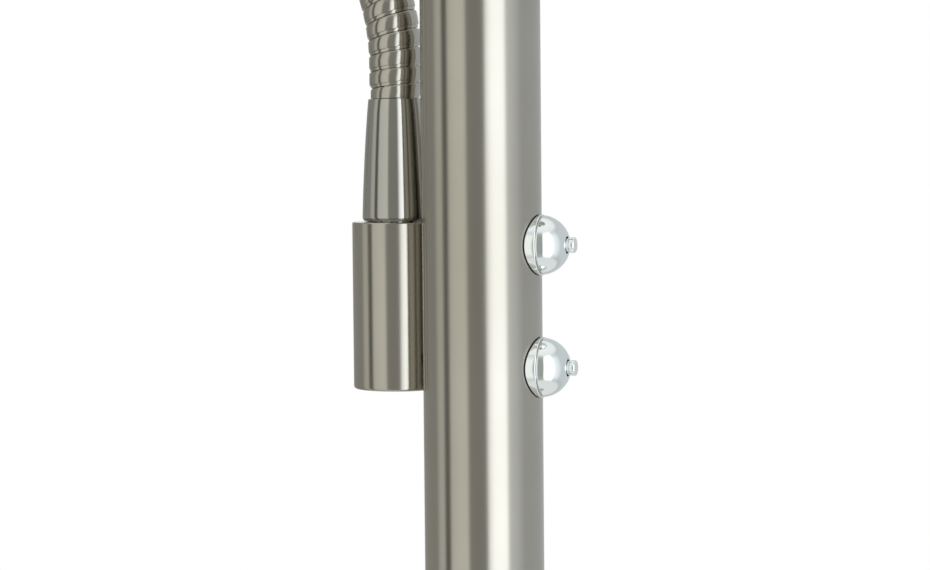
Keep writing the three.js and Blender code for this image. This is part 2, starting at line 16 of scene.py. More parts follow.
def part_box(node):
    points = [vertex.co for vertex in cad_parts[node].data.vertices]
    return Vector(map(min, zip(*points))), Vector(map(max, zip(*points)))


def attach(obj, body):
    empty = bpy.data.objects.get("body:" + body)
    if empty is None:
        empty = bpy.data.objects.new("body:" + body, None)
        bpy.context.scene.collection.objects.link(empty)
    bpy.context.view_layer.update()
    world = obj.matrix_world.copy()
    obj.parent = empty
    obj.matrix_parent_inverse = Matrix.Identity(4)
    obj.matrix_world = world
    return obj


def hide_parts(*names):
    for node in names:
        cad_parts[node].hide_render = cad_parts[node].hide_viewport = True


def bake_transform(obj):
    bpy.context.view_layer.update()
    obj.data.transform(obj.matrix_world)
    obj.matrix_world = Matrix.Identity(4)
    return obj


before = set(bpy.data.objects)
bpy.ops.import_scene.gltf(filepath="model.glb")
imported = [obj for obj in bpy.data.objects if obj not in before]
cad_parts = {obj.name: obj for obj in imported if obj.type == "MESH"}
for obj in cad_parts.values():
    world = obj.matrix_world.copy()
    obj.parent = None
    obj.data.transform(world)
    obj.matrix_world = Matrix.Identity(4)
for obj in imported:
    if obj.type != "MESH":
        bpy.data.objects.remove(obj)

log = logging.getLogger("floor_lamp")

MM = 0.001
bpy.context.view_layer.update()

Point = tuple[float, float]
Tint = tuple[float, float, float]


# ---- small tools --------------------------------------------------------------------------


def corners(node: str) -> tuple[Vector, Vector]:
    """The lowest and highest corner of a CAD node.

    Args:
        node: the node's name.

    Returns:
        Both corners, in millimetres.
    """
    low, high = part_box(node)
    return low / MM, high / MM


def middle(node: str) -> Vector:
    """The middle of a CAD node's box, in millimetres."""
    low, high = corners(node)
    return (low + high) / 2


def arm_axis() -> Vector:
    """The place of the arm's upright axis.

    Returns:
        The place at the floor's height, in millimetres.
    """
    axis = middle("arm_holder_cup")
    axis.z = 0
    return axis


def arm_side() -> Matrix:
    """The turn about the column that brings -X round to the arm's side."""
    axis = arm_axis()
    return Matrix.Rotation(math.atan2(-axis.y, -axis.x), 4, "Z")


def linear(hex_colour: str) -> tuple[float, float, float, float]:
    """Turns an sRGB colour into the linear one that shaders use.

    Args:
        hex_colour: six hex digits, with or without a leading #.

    Returns:
        Red, green, blue and an alpha of 1.
    """
    digits = hex_colour.lstrip("#")
    parts = [int(digits[i : i + 2], 16) / 255 for i in (0, 2, 4)]
    turned = [c / 12.92 if c <= 0.04045 else ((c + 0.055) / 1.055) ** 2.4 for c in parts]
    return (*turned, 1.0)


def add_node(
    tree: bpy.types.NodeTree,
    kind: str,
    settings: dict[str, object] | None = None,
    inputs: dict[str | int, object] | None = None,
) -> bpy.types.Node:
    """Adds a node, with its settings, and its inputs set or linked.

    Args:
        tree: the node tree.
        kind: the node's type.
        settings: the node's own properties.
        inputs: for each input, a value or the output socket that feeds it.

    Returns:
        The new node.
    """
    node = tree.nodes.new(kind)
    for name, value in (settings or {}).items():
        setattr(node, name, value)
    for name, value in (inputs or {}).items():
        if isinstance(value, bpy.types.NodeSocket):
            tree.links.new(value, node.inputs[name])
        else:
            node.inputs[name].default_value = value
    return node


def arc(centre: Point, radius: float, start: float, end: float, steps: int) -> list[Point]:
    """Points along an arc of an outline.

    Args:
        centre: the arc's centre, as its radius from the axis and its height.
        radius: the arc's own radius.
        start: the first point's angle in degrees, from the outward direction.
        end: the last point's angle.
        steps: how many stretches the arc has.

    Returns:
        The points in order, both ends included.
    """
    angles = [math.radians(start + (end - start) * i / steps) for i in range(steps + 1)]
    return [
        (centre[0] + radius * math.cos(a), centre[1] + radius * math.sin(a)) for a in angles
    ]


# ---- workshop: how pieces are shaped ---------------------------------------------------------


def deselect() -> None:
    """Deselects every object."""
    bpy.ops.object.select_all(action="DESELECT")


def take(piece: bpy.types.Object) -> None:
    """Makes a piece the only selected object, and the active one.

    Args:
        piece: the piece.
    """
    deselect()
    piece.select_set(True)
    bpy.context.view_layer.objects.active = piece


def apply_modifiers(piece: bpy.types.Object) -> None:
    """Applies all of a piece's modifiers, first to last.

    Args:
        piece: the piece.
    """
    take(piece)
    for modifier in list(piece.modifiers):
        bpy.ops.object.modifier_apply(modifier=modifier.name)


def place(piece: bpy.types.Object, matrix: Matrix) -> None:
    """Moves a piece, and leaves its object at the origin with its place in its mesh.

    Args:
        piece: the piece.
        matrix: where it goes, with its translation in millimetres.
    """
    moved = matrix.copy()
    moved.translation = matrix.translation * MM
    piece.matrix_world = moved
    take(piece)
    bpy.ops.object.transform_apply(location=True, rotation=True, scale=True)


def smooth(piece: bpy.types.Object, angle: float = 32.0) -> None:
    """Shades a piece smooth, with creases where its faces meet at more than an angle."""
    take(piece)
    bpy.ops.object.shade_smooth_by_angle(angle=math.radians(angle))


def bevel(piece: bpy.types.Object, width: float, segments: int = 2) -> None:
    """Rounds a piece's sharp edges.

    Args:
        piece: the piece.
        width: the rounding's width in millimetres.
        segments: how many faces make the rounding.
    """
    rounding = piece.modifiers.new("rounding", "BEVEL")
    rounding.width = width * MM
    rounding.segments = segments
    rounding.limit_method = "ANGLE"
    rounding.angle_limit = math.radians(40)
    rounding.harden_normals = False
    apply_modifiers(piece)


def draw_outline(name: str, outline: Sequence[Point], closed: bool) -> bpy.types.Object:
    """Draws an outline as a chain of edges in the XZ plane, and stays in edit mode.

    Args:
        name: the new piece's name.
        outline: its points, as radius and height in millimetres.
        closed: whether the last point joins the first.

    Returns:
        The new piece, in edit mode.
    """
    deselect()
    bpy.ops.mesh.primitive_plane_add(size=MM)
    piece = bpy.context.object
    piece.name = name
    piece.data.name = name
    bpy.ops.object.mode_set(mode="EDIT")
    bpy.ops.mesh.select_all(action="SELECT")
    bpy.ops.mesh.merge(type="CENTER")
    points = [Vector((r, 0, z)) * MM for r, z in outline]
    bpy.ops.transform.translate(value=points[0])
    chain = [*points, points[0]] if closed else points
    for here, there in zip(chain, chain[1:]):
        bpy.ops.mesh.extrude_vertices_move(TRANSFORM_OT_translate={"value": there - here})
    return piece


def spun(name: str, outline: Sequence[Point], sides: int = 96) -> bpy.types.Object:
    """Turns an outline about the Z axis, as on a lathe.

    Args:
        name: the piece's name.
        outline: radius and height of its points. It starts and ends on the axis, or it is
            closed.
        sides: how many sides the round has.

    Returns:
        The finished solid, on the Z axis.
    """
    on_axis = outline[0][0] == 0 and outline[-1][0] == 0
    piece = draw_outline(name, outline, closed=not on_axis)
    bpy.ops.mesh.select_all(action="SELECT")
    bpy.ops.mesh.remove_doubles(threshold=1e-7)
    bpy.ops.mesh.spin(steps=sides, angle=math.tau, center=(0, 0, 0), axis=(0, 0, 1))
    bpy.ops.mesh.select_all(action="SELECT")
    bpy.ops.mesh.remove_doubles(threshold=1e-6)
    bpy.ops.mesh.normals_make_consistent(inside=False)
    bpy.ops.object.mode_set(mode="OBJECT")
    return piece


def drill(piece: bpy.types.Object, cutter: bpy.types.Object) -> None:
    """Cuts one solid's shape out of another, and removes the cutter.

    Args:
        piece: the solid that is cut.
        cutter: the solid that cuts it.
    """
    cut = piece.modifiers.new("cut", "BOOLEAN")
    cut.operation = "DIFFERENCE"
    cut.solver = "EXACT"
    cut.object = cutter
    apply_modifiers(piece)
    bpy.data.objects.remove(cutter)


def dowel(radius: float, start: Vector, end: Vector, sides: int = 64) -> bpy.types.Object:
    """A plain round bar between two points, for drilling holes.

    Args:
        radius: its radius in millimetres.
        start: one end's middle.
        end: the other end's middle.
        sides: how many sides it has.

    Returns:
        The bar.
    """
    deselect()
    along = end - start
    bpy.ops.mesh.primitive_cylinder_add(
        vertices=sides,
        radius=radius * MM,
        depth=along.length * MM,
        location=(start + end) / 2 * MM,
        rotation=along.to_track_quat("Z", "Y").to_euler(),
    )
    bar = bpy.context.object
    bpy.ops.object.transform_apply(location=True, rotation=True, scale=True)
    return bar


def hex_socket(radius: float, start: Vector, end: Vector) -> bpy.types.Object:
    """A six-sided bar between two points, for cutting a key's socket."""
    return dowel(radius, start, end, sides=6)


# ---- finishes -----------------------------------------------------------------------------


class Grain(Enum):
    """Which way a metal's grain runs on a piece that stands along Z.

    Each value scales the pattern's coordinates, and a small number draws it out that way.
    """

    ALONG = (1.0, 1.0, 0.012)
    AROUND = (0.05, 0.05, 1.0)


@dataclass(frozen=True)
class Finish:
    """A surface, with the record's material slot that it belongs to."""

    name: str
    slot: str

    def start(self) -> tuple[bpy.types.NodeTree, bpy.types.Node]:
        """Makes the material with an empty shader.

        Returns:
            The node tree, and its Principled shader.
        """
        material = bpy.data.materials.new(self.name)
        material.use_nodes = True
        tree = material.node_tree
        tree.nodes.clear()
        shader = add_node(tree, "ShaderNodeBsdfPrincipled")
        add_node(tree, "ShaderNodeOutputMaterial", {}, {"Surface": shader.outputs[0]})
        return tree, shader

    def fill(self, tree: bpy.types.NodeTree, shader: bpy.types.Node) -> None:
        """Sets the shader up. Each finish has its own way."""
        raise NotImplementedError

    def material(self) -> bpy.types.Material:
        """The finish's material, which is made the first time that it is asked for.

        Returns:
            The material.
        """
        made = bpy.data.materials.get(self.name)
        if made is None:
            tree, shader = self.start()
            self.fill(tree, shader)
            made = bpy.data.materials[self.name]
        return made


@dataclass(frozen=True)
class SatinMetal(Finish):
    """Plated steel brushed with a fine abrasive belt.

    The belt leaves hair-fine parallel scratches, so a reflection is drawn out across them, and
    handling leaves broad, faint changes of gloss.
    """

    colour: str = "#BDB9B0"
    worn_colour: str = "#B1ACA1"
    roughness: float = 0.2
    spread: float = 0.06
    anisotropy: float = 0.55
    scratch_mm: float = 0.22  # a belt's real scratches are near 0.03 mm, too fine to show
    scratch_depth_mm: float = 0.004
    across: float = 0.25
    handling_mm: float = 35.0
    grain: Grain = Grain.ALONG

    def fill(self, tree: bpy.types.NodeTree, shader: bpy.types.Node) -> None:
        """Sets up the brushed metal.

        Args:
            tree: the material's node tree.
            shader: its Principled shader.
        """
        place_on = add_node(tree, "ShaderNodeTexCoord").outputs["Object"]
        drawn = add_node(tree, "ShaderNodeMapping", {}, {
            "Vector": place_on, "Scale": self.grain.value})
        scratches = add_node(tree, "ShaderNodeTexNoise", {}, {
            "Vector": drawn.outputs[0], "Scale": 1 / (self.scratch_mm * MM), "Detail": 2.0,
            "Roughness": 0.6})
        handling = add_node(tree, "ShaderNodeTexNoise", {}, {
            "Vector": place_on, "Scale": 1 / (self.handling_mm * MM), "Detail": 3.0,
            "Roughness": 0.55})
        tint = add_node(tree, "ShaderNodeMix", {"data_type": "RGBA"}, {
            "Factor": handling.outputs["Fac"], "A": linear(self.colour),
            "B": linear(self.worn_colour)})
        gloss = add_node(tree, "ShaderNodeMath", {"operation": "ADD"}, {
            0: handling.outputs["Fac"], 1: scratches.outputs["Fac"]})
        rough = add_node(tree, "ShaderNodeMapRange", {}, {
            "Value": gloss.outputs[0], "From Min": 0.6, "From Max": 1.4,
            "To Min": self.roughness - self.spread / 2,
            "To Max": self.roughness + self.spread / 2})
        relief = add_node(tree, "ShaderNodeBump", {}, {
            "Height": scratches.outputs["Fac"], "Distance": self.scratch_depth_mm * MM,
            "Strength": 0.5})
        round_axis = add_node(tree, "ShaderNodeTangent", {
            "direction_type": "RADIAL", "axis": "Z"})
        tree.links.new(tint.outputs["Result"], shader.inputs["Base Color"])
        tree.links.new(rough.outputs[0], shader.inputs["Roughness"])
        tree.links.new(relief.outputs[0], shader.inputs["Normal"])
        tree.links.new(round_axis.outputs[0], shader.inputs["Tangent"])
        shader.inputs["Metallic"].default_value = 1.0
        shader.inputs["Anisotropic"].default_value = self.anisotropy
        shader.inputs["Anisotropic Rotation"].default_value = self.across


@dataclass(frozen=True)
class PolishedChrome(Finish):
    """Bright chrome plate over polished brass.

    It is a mirror. Wiping leaves a web of marks too fine to see, which dulls it in patches, and
    the polished metal under it waves a little.
    """

    colour: str = "#F6FAFA"
    roughness: float = 0.035
    dulled: float = 2.4
    wave_mm: float = 5.0
    wave_depth_mm: float = 0.05
    mark_mm: float = 2.2  # a wiping mark is near 0.02 mm wide, so this draws patches of them

    def fill(self, tree: bpy.types.NodeTree, shader: bpy.types.Node) -> None:
        """Sets up the chrome.

        Args:
            tree: the material's node tree.
            shader: its Principled shader.
        """
        place_on = add_node(tree, "ShaderNodeTexCoord").outputs["Object"]
        waves = add_node(tree, "ShaderNodeTexNoise", {}, {
            "Vector": place_on, "Scale": 1 / (self.wave_mm * MM), "Detail": 1.0})
        marks = add_node(tree, "ShaderNodeTexNoise", {}, {
            "Vector": place_on, "Scale": 1 / (self.mark_mm * MM), "Detail": 6.0,
            "Roughness": 0.7})
        rough = add_node(tree, "ShaderNodeMapRange", {}, {
            "Value": marks.outputs["Fac"], "From Min": 0.35, "From Max": 0.7,
            "To Min": self.roughness, "To Max": self.roughness * self.dulled})
        relief = add_node(tree, "ShaderNodeBump", {}, {
            "Height": waves.outputs["Fac"], "Distance": self.wave_depth_mm * MM,
            "Strength": 0.6})
        tree.links.new(rough.outputs[0], shader.inputs["Roughness"])
        tree.links.new(relief.outputs[0], shader.inputs["Normal"])
        shader.inputs["Base Color"].default_value = linear(self.colour)
        shader.inputs["Metallic"].default_value = 1.0


@dataclass(frozen=True)
class GrainySurface(Finish):
    """A plain surface with a grain of its own: cast, moulded, pressed, painted or zinc-plated.

    Its colour changes between two close tones in patches, and its relief has one grain size.
    Most real grains are 0.02 to 0.2 mm, too fine to show, so they are drawn coarser.
    """

    colour: str = "#808080"
    patch_colour: str = "#707070"
    metallic: float = 0.0
    roughness: float = 0.5
    spread: float = 0.1
    grain_mm: float = 0.5
    relief_mm: float = 0.02
    patch_mm: float = 12.0
    sheen: float = 0.0
    coat: float = 0.0

    def fill(self, tree: bpy.types.NodeTree, shader: bpy.types.Node) -> None:
        """Sets up the surface.

        Args:
            tree: the material's node tree.
            shader: its Principled shader.
        """
        place_on = add_node(tree, "ShaderNodeTexCoord").outputs["Object"]
        patches = add_node(tree, "ShaderNodeTexNoise", {}, {
            "Vector": place_on, "Scale": 1 / (self.patch_mm * MM), "Detail": 4.0})
        grains = add_node(tree, "ShaderNodeTexNoise", {}, {
            "Vector": place_on, "Scale": 1 / (self.grain_mm * MM), "Detail": 3.0})
        tint = add_node(tree, "ShaderNodeMix", {"data_type": "RGBA"}, {
            "Factor": patches.outputs["Fac"], "A": linear(self.colour),
            "B": linear(self.patch_colour)})
        rough = add_node(tree, "ShaderNodeMapRange", {}, {
            "Value": grains.outputs["Fac"], "From Min": 0.3, "From Max": 0.7,
            "To Min": self.roughness - self.spread / 2,
            "To Max": self.roughness + self.spread / 2})
        relief = add_node(tree, "ShaderNodeBump", {}, {
            "Height": grains.outputs["Fac"], "Distance": self.relief_mm * MM,
            "Strength": 0.8})
        tree.links.new(tint.outputs["Result"], shader.inputs["Base Color"])
        tree.links.new(rough.outputs[0], shader.inputs["Roughness"])
        tree.links.new(relief.outputs[0], shader.inputs["Normal"])
        shader.inputs["Metallic"].default_value = self.metallic
        shader.inputs["Sheen Weight"].default_value = self.sheen
        shader.inputs["Coat Weight"].default_value = self.coat


@dataclass(frozen=True)
class FacetedLens(Finish):
    """Clear acrylic moulded with a honeycomb of small lenses, over white diodes. Its colour
    carries a painted highlight in each cell's middle and painted shade in the valleys between the
    cells.
    """

    colour: str = "#F7F8F6"
    # painted shade: the darker colour painted into the valleys between the lens cells
    painted_valley_shade_colour: str = "#C9D2D6"
    roughness: float = 0.08
    acrylic_ior: float = 1.49
    gloss_coat: float = 0.6
    cell_mm: float = 3.2
    cell_depth_mm: float = 0.9

    def fill(self, tree: bpy.types.NodeTree, shader: bpy.types.Node) -> None:
        """Sets up the lens.

        Args:
            tree: the material's node tree.
            shader: its Principled shader.
        """
        place_on = add_node(tree, "ShaderNodeTexCoord").outputs["Object"]
        cells = add_node(tree, "ShaderNodeTexVoronoi", {"feature": "SMOOTH_F1"}, {
            "Vector": place_on, "Scale": 1 / (self.cell_mm * MM), "Smoothness": 0.3,
            "Randomness": 0.35})
        relief = add_node(tree, "ShaderNodeBump", {"invert": True}, {
            "Height": cells.outputs["Distance"], "Distance": self.cell_depth_mm * MM,
            "Strength": 0.9})
        # painted highlight in each cell's middle, fading to painted shade in the valleys between
        # the cells
        tint = add_node(tree, "ShaderNodeMix", {"data_type": "RGBA"}, {
            "Factor": cells.outputs["Distance"], "A": linear(self.colour),
            "B": linear(self.painted_valley_shade_colour)})
        tree.links.new(tint.outputs["Result"], shader.inputs["Base Color"])
        tree.links.new(relief.outputs[0], shader.inputs["Normal"])
        shader.inputs["Roughness"].default_value = self.roughness
        shader.inputs["IOR"].default_value = self.acrylic_ior
        shader.inputs["Coat Weight"].default_value = self.gloss_coat


# Satin nickel plate on steel tube, drawn lengthwise through a belt: one tall soft highlight.
COLUMN_NICKEL = SatinMetal("satin nickel, column", "brushed_steel")

# The same plate on turned bar, brushed by hand: a little sharper, with coarser scratches.
CUP_NICKEL = SatinMetal(
    "satin nickel, cup", "brushed_steel", roughness=0.19, spread=0.08, scratch_mm=0.3,
    scratch_depth_mm=0.006)

# Nickel plate on brass, buffed after turning: darker and glossier, with a crisp highlight.
FERRULE_NICKEL = SatinMetal(
    "polished nickel, ferrule", "brushed_steel", "#BEBCB7", "#B2B0A8", roughness=0.13,
    spread=0.04)

# Nickel plate on spun sheet steel, brushed on the lathe: rings round the axis, and a fan of
# light that widens towards the rim.
SPUN_NICKEL = SatinMetal(
    "satin nickel, spun parts", "brushed_steel", roughness=0.24, anisotropy=0.35,
    grain=Grain.AROUND)

# Nickel-plated steel strip, rolled and then wound: fine lines along the strip, and a glint on
# each turn's edge.
STRIP_NICKEL = SatinMetal(
    "satin nickel, wound strip", "gooseneck_steel", roughness=0.17, anisotropy=0.2,
    scratch_mm=0.3, grain=Grain.AROUND)

# Bright chrome plate on turned and polished brass: a mirror.
CHROME = PolishedChrome("polished chrome", "chrome")

# Zinc plate on turned or pressed steel: a cool grey metal, slightly milky. Its crystals are
# near 0.02 mm and are drawn coarser.
ZINC = GrainySurface(
    "zinc-plated steel", "zinc_steel", "#AEB2B6", "#9A9FA4", metallic=1.0, roughness=0.36,
    spread=0.12, grain_mm=0.35, relief_mm=0.006)

# Free-cutting brass, turned: warm yellow metal. Its tool marks, near 0.1 mm, are drawn coarser.
BRASS = GrainySurface(
    "turned brass", "brass", "#C6A35C", "#B28F4B", metallic=1.0, roughness=0.3, spread=0.1,
    grain_mm=0.4, relief_mm=0.005)

# Grey iron cast in sand and dipped in black paint: dull and rough, with the sand's grain.
IRON = GrainySurface(
    "sand-cast iron", "cast_iron", "#3B3B3A", "#2B2A29", metallic=0.5, roughness=0.75,
    spread=0.2, grain_mm=0.9, relief_mm=0.15)

# Wool felt, pressed: a matt dark cloth with a soft pale edge. Wool is 0.02 mm thick, so the
# grain stands for tufts of it.
FELT = GrainySurface(
    "pressed wool felt", "felt", "#2C2C2E", "#232325", roughness=0.97, spread=0.04,
    grain_mm=0.35, relief_mm=0.2, sheen=0.5)

# Black rubber, moulded in a blasted tool: nearly matt, with a faint grain.
RUBBER = GrainySurface(
    "moulded rubber", "black_rubber", "#191919", "#121212", roughness=0.68, spread=0.14,
    grain_mm=0.3, relief_mm=0.012)

# Black nylon, moulded in a spark-eroded tool: satin black with a fine even grain.
PLASTIC = GrainySurface(
    "moulded nylon", "black_plastic", "#1F2022", "#191A1C", roughness=0.45, spread=0.12,
    grain_mm=0.45, relief_mm=0.015)

# Aluminium alloy, die-cast and left bare: pale dull metal with the die's texture.
ALUMINIUM = GrainySurface(
    "die-cast aluminium", "cast_aluminium", "#B9BCBE", "#A6A9AC", metallic=1.0,
    roughness=0.48, spread=0.14, grain_mm=0.6, relief_mm=0.03)

# Glass-fibre board printed with white solder mask: smooth white with a low gloss.
BOARD = GrainySurface(
    "white solder mask", "white_board", "#F2F2EE", "#E9E9E4", roughness=0.4, spread=0.08,
    grain_mm=0.5, relief_mm=0.006)

# Opal acrylic, moulded: a milky warm white with a clear glossy skin.
OPAL = GrainySurface(
    "opal acrylic", "opal_acrylic", "#F7F4EC", "#F2EEE4", roughness=0.32, spread=0.08,
    grain_mm=0.8, relief_mm=0.006, coat=0.25)

# White stove enamel, sprayed on steel: an even warm white with a slight orange peel.
ENAMEL = GrainySurface(
    "white stove enamel", "brushed_steel", "#F3F2ED", "#ECEAE4", roughness=0.42, spread=0.1,
    grain_mm=1.4, relief_mm=0.02, coat=0.3)

# Steatite, pressed and glazed: a glossy cream white with a soft ripple.
CERAMIC = GrainySurface(
    "glazed ceramic", "ceramic", "#EEECE6", "#E4E1D9", roughness=0.3, spread=0.1,
    grain_mm=1.1, relief_mm=0.02, coat=0.4)

# White thermoplastic, moulded round the bulb's heat sink: satin white with a faint grain.
BULB_SHELL = GrainySurface(
    "white thermoplastic", "bulb", "#F0F0EC", "#E8E8E3", roughness=0.4, spread=0.1,
    grain_mm=0.4, relief_mm=0.01)

# Clear acrylic, moulded: the honeycomb's small bright cells and dim valleys are a painted
# highlight and painted shade in its colour.
LENS = FacetedLens("moulded lens", "bulb")

# Pale paint on the studio's floor: matt, with a mottle too faint to draw the eye.
FLOOR_PAINT = GrainySurface(
    "pale floor", "", "#D6D9D3", "#D0D3CD", roughness=0.6, spread=0.05, grain_mm=1.5,
    relief_mm=0.02, patch_mm=400.0)


def dress(piece: bpy.types.Object, finish: Finish) -> None:
    """Gives a piece one finish all over.

    Args:
        piece: the piece, or a CAD node.
        finish: the finish.
    """
    piece.data.materials.clear()
    piece.data.materials.append(finish.material())


def dress_faces(
    piece: bpy.types.Object, finish: Finish, wanted: Callable[[Vector, Vector], bool]
) -> None:
    """Gives some of a piece's faces another finish.

    Args:
        piece: the piece, which has its first finish.
        finish: the other finish.
        wanted: takes a face's middle in millimetres and its normal.
    """
    piece.data.materials.append(finish.material())
    last = len(piece.data.materials) - 1
    for polygon in piece.data.polygons:
        if wanted(polygon.center / MM, polygon.normal):
            polygon.material_index = last


def fit(piece: bpy.types.Object, finish: Finish, body: str, *nodes: str) -> None:
    """Finishes a piece: its surface, the body it rides on and the nodes it stands for.

    Args:
        piece: the piece, in place.
        finish: its finish, or its first one.
        body: the CAD body that it moves with.
        nodes: the CAD nodes that it replaces.
    """
    if not piece.data.materials:
        dress(piece, finish)
    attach(piece, body)
    if nodes:
        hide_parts(*nodes)
    log.info("%s rides on %s", piece.name, body)


# ---- foot ---------------------------------------------------------------------------------


@dataclass
class Foot:
    """The round foot: felt pad, iron weight, spun cover, cord inlet and the column's collar."""

    wall: float = 1.2
    rim_rounding: float = 9.0
    crown: float = 3.0
    crown_shape: tuple[Point, ...] = ((0.66, 0.42), (0.33, 0.1))
    collar_rounding: float = 4.0
    collar_edge: float = 0.5
    collar_gap: float = 0.3
    middle_hole: float = 5.3
    cord_hole: float = 3.9
    drill_reach: float = 8.0
    cord_bore: float = 2.3
    body: str = "lamp_stand"

    def cover(self) -> None:
        """The spun steel cover, with a rolled lip at the floor and a hole for the cord."""
        low, high = corners("base_cover")
        grommet = middle("cord_grommet")
        radius = high.x
        shoulder = high.z - self.crown
        centre = (radius - self.rim_rounding, shoulder - self.rim_rounding)
        hole = self.middle_hole
        edge, rise = 0.25, 0.3
        outer = [
            (radius - edge, low.z),
            (radius, low.z + rise),
            *arc(centre, self.rim_rounding, 0, 88, 14),
            *[(centre[0] * out, high.z - self.crown * down) for out, down in self.crown_shape],
            (hole, high.z),
        ]
        inner = [(r - self.wall if r > centre[0] else r, z - self.wall) for r, z in outer[2:]]
        inner[-1] = (hole, high.z - self.wall)
        base = [(radius - self.wall, low.z + rise), (radius - self.wall + edge, low.z)]
        piece = spun("foot_cover", [*outer, *inner[::-1], *base], 160)
        inside = Vector((0, grommet.y - self.drill_reach, grommet.z))
        outside = Vector((0, grommet.y + self.drill_reach, grommet.z))
        drill(piece, dowel(self.cord_hole, inside, outside))
        smooth(piece)
        fit(piece, SPUN_NICKEL, self.body, "base_cover")

    def grommet(self) -> None:
        """The rubber grommet in the cover's wall, where a cord would leave."""
        low, high = corners("cord_grommet")
        centre = middle("cord_grommet")
        depth = high.y - low.y
        outside = (high.x - low.x) / 2
        bore = self.cord_bore
        flange, groove = outside - 0.6, outside - 1.2
        piece = spun("cord_grommet_rubber", [
            (bore, 0), (outside - 0.9, 0), (flange, 0.3), (flange, 1.3),
            (groove, 1.3), (groove, 3.5), (outside - 0.3, 3.5),
            (outside, 3.8), *arc((outside - 0.8, depth - 0.9), 0.8, 0, 80, 5),
            (bore + 0.9, depth), (bore + 0.3, depth - 0.25), (bore, depth - 0.8)], 64)
        place(piece, Matrix.Translation((0, low.y, centre.z)) @ Matrix.Rotation(
            -math.pi / 2, 4, "X"))
        smooth(piece)
        fit(piece, RUBBER, self.body, "cord_grommet")

    def collar(self) -> None:
        """The turned collar that hides the hole under the column."""
        low, high = corners("pole_foot_collar")
        bore = corners("lower_pole_tube")[1].x + self.collar_gap
        rounding = self.collar_rounding
        piece = spun("foot_collar", [
            (bore, low.z), (high.x - self.collar_edge, low.z),
            (high.x, low.z + self.collar_edge),
            *arc((high.x - rounding, high.z - rounding), rounding, 0, 90, 10),
            (bore + 0.5, high.z), (bore, high.z - 0.5)], 128)
        smooth(piece)
        fit(piece, SPUN_NICKEL, self.body, "pole_foot_collar")

    def inside(self) -> None:
        """Surfaces for the CAD parts under the cover."""
        for node, finish in {
            "base_pad": FELT, "base_weight": IRON, "base_stud": ZINC, "base_nut": ZINC,
            "base_washer": ZINC, "mains_flex": PLASTIC,
        }.items():
            dress(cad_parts[node], finish)

    def build(self) -> None:
        """Builds the foot."""
        self.cover()
        self.grommet()
        self.collar()
        self.inside()


# ---- column -------------------------------------------------------------------------------


@dataclass
class Column:
    """Three screwed sections of brushed tube."""

    wall: float = 1.2
    edge: float = 0.35
    edge_margin: float = 1.7
    switch_hole: float = 5.3
    nipple_hole: float = 4.3
    sides: int = 192
    body: str = "lamp_stand"
    sections: tuple[str, ...] = ("lower_pole_tube", "middle_pole_tube", "upper_pole_tube")

    def tube(self, node: str, loops: Sequence[float]) -> bpy.types.Object:
        """One section of tube with chamfered ends.

        Args:
            node: the CAD node it stands for.
            loops: heights where the outside has a ring of edges, low to high.

        Returns:
            The section.
        """
        low, high = corners(node)
        radius, bore = high.x, high.x - self.wall
        return spun(node.replace("pole_tube", "column"), [
            (bore + self.edge / 2, low.z), (radius - self.edge, low.z),
            (radius, low.z + self.edge), *[(radius, height) for height in loops],
            (radius, high.z - self.edge), (radius - self.edge, high.z),
            (bore + self.edge / 2, high.z), (bore, high.z - self.edge),
            *[(bore, height) for height in reversed(loops)],
            (bore, low.z + self.edge)], self.sides)

    def holes(self) -> list[tuple[float, float, Vector]]:
        """The upper section's holes.

        Returns:
            For each, its height, radius and the way it faces.
        """
        switches = [
            (middle(f"{which}_switch_ring").z, self.switch_hole, Vector((1, 0, 0)))
            for which in ("upper", "lower")
        ]
        nipple = (middle("wire_nipple").z, self.nipple_hole, arm_axis().normalized())
        return [*switches, nipple]

    def build(self) -> None:
        """Builds the column."""
        radius = corners("upper_pole_tube")[1].x
        for node in self.sections:
            holes = self.holes() if node == "upper_pole_tube" else []
            edges = sorted({
                height + side * (size + self.edge_margin)
                for height, size, _ in holes for side in (-1, 1)})
            piece = self.tube(node, edges)
            for height, size, way in holes:
                start = Vector((0, 0, height))
                drill(piece, dowel(size, start + way * 8, start + way * (radius + 6)))
            smooth(piece)
            fit(piece, COLUMN_NICKEL, self.body, node)
        for node in ("pole_foot_plug", "lower_pole_coupler", "upper_pole_coupler",
                     "pole_top_plug"):
            dress(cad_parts[node], ZINC)
        dress(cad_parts["led_driver"], PLASTIC)


# ---- push switches ------------------------------------------------------------------------


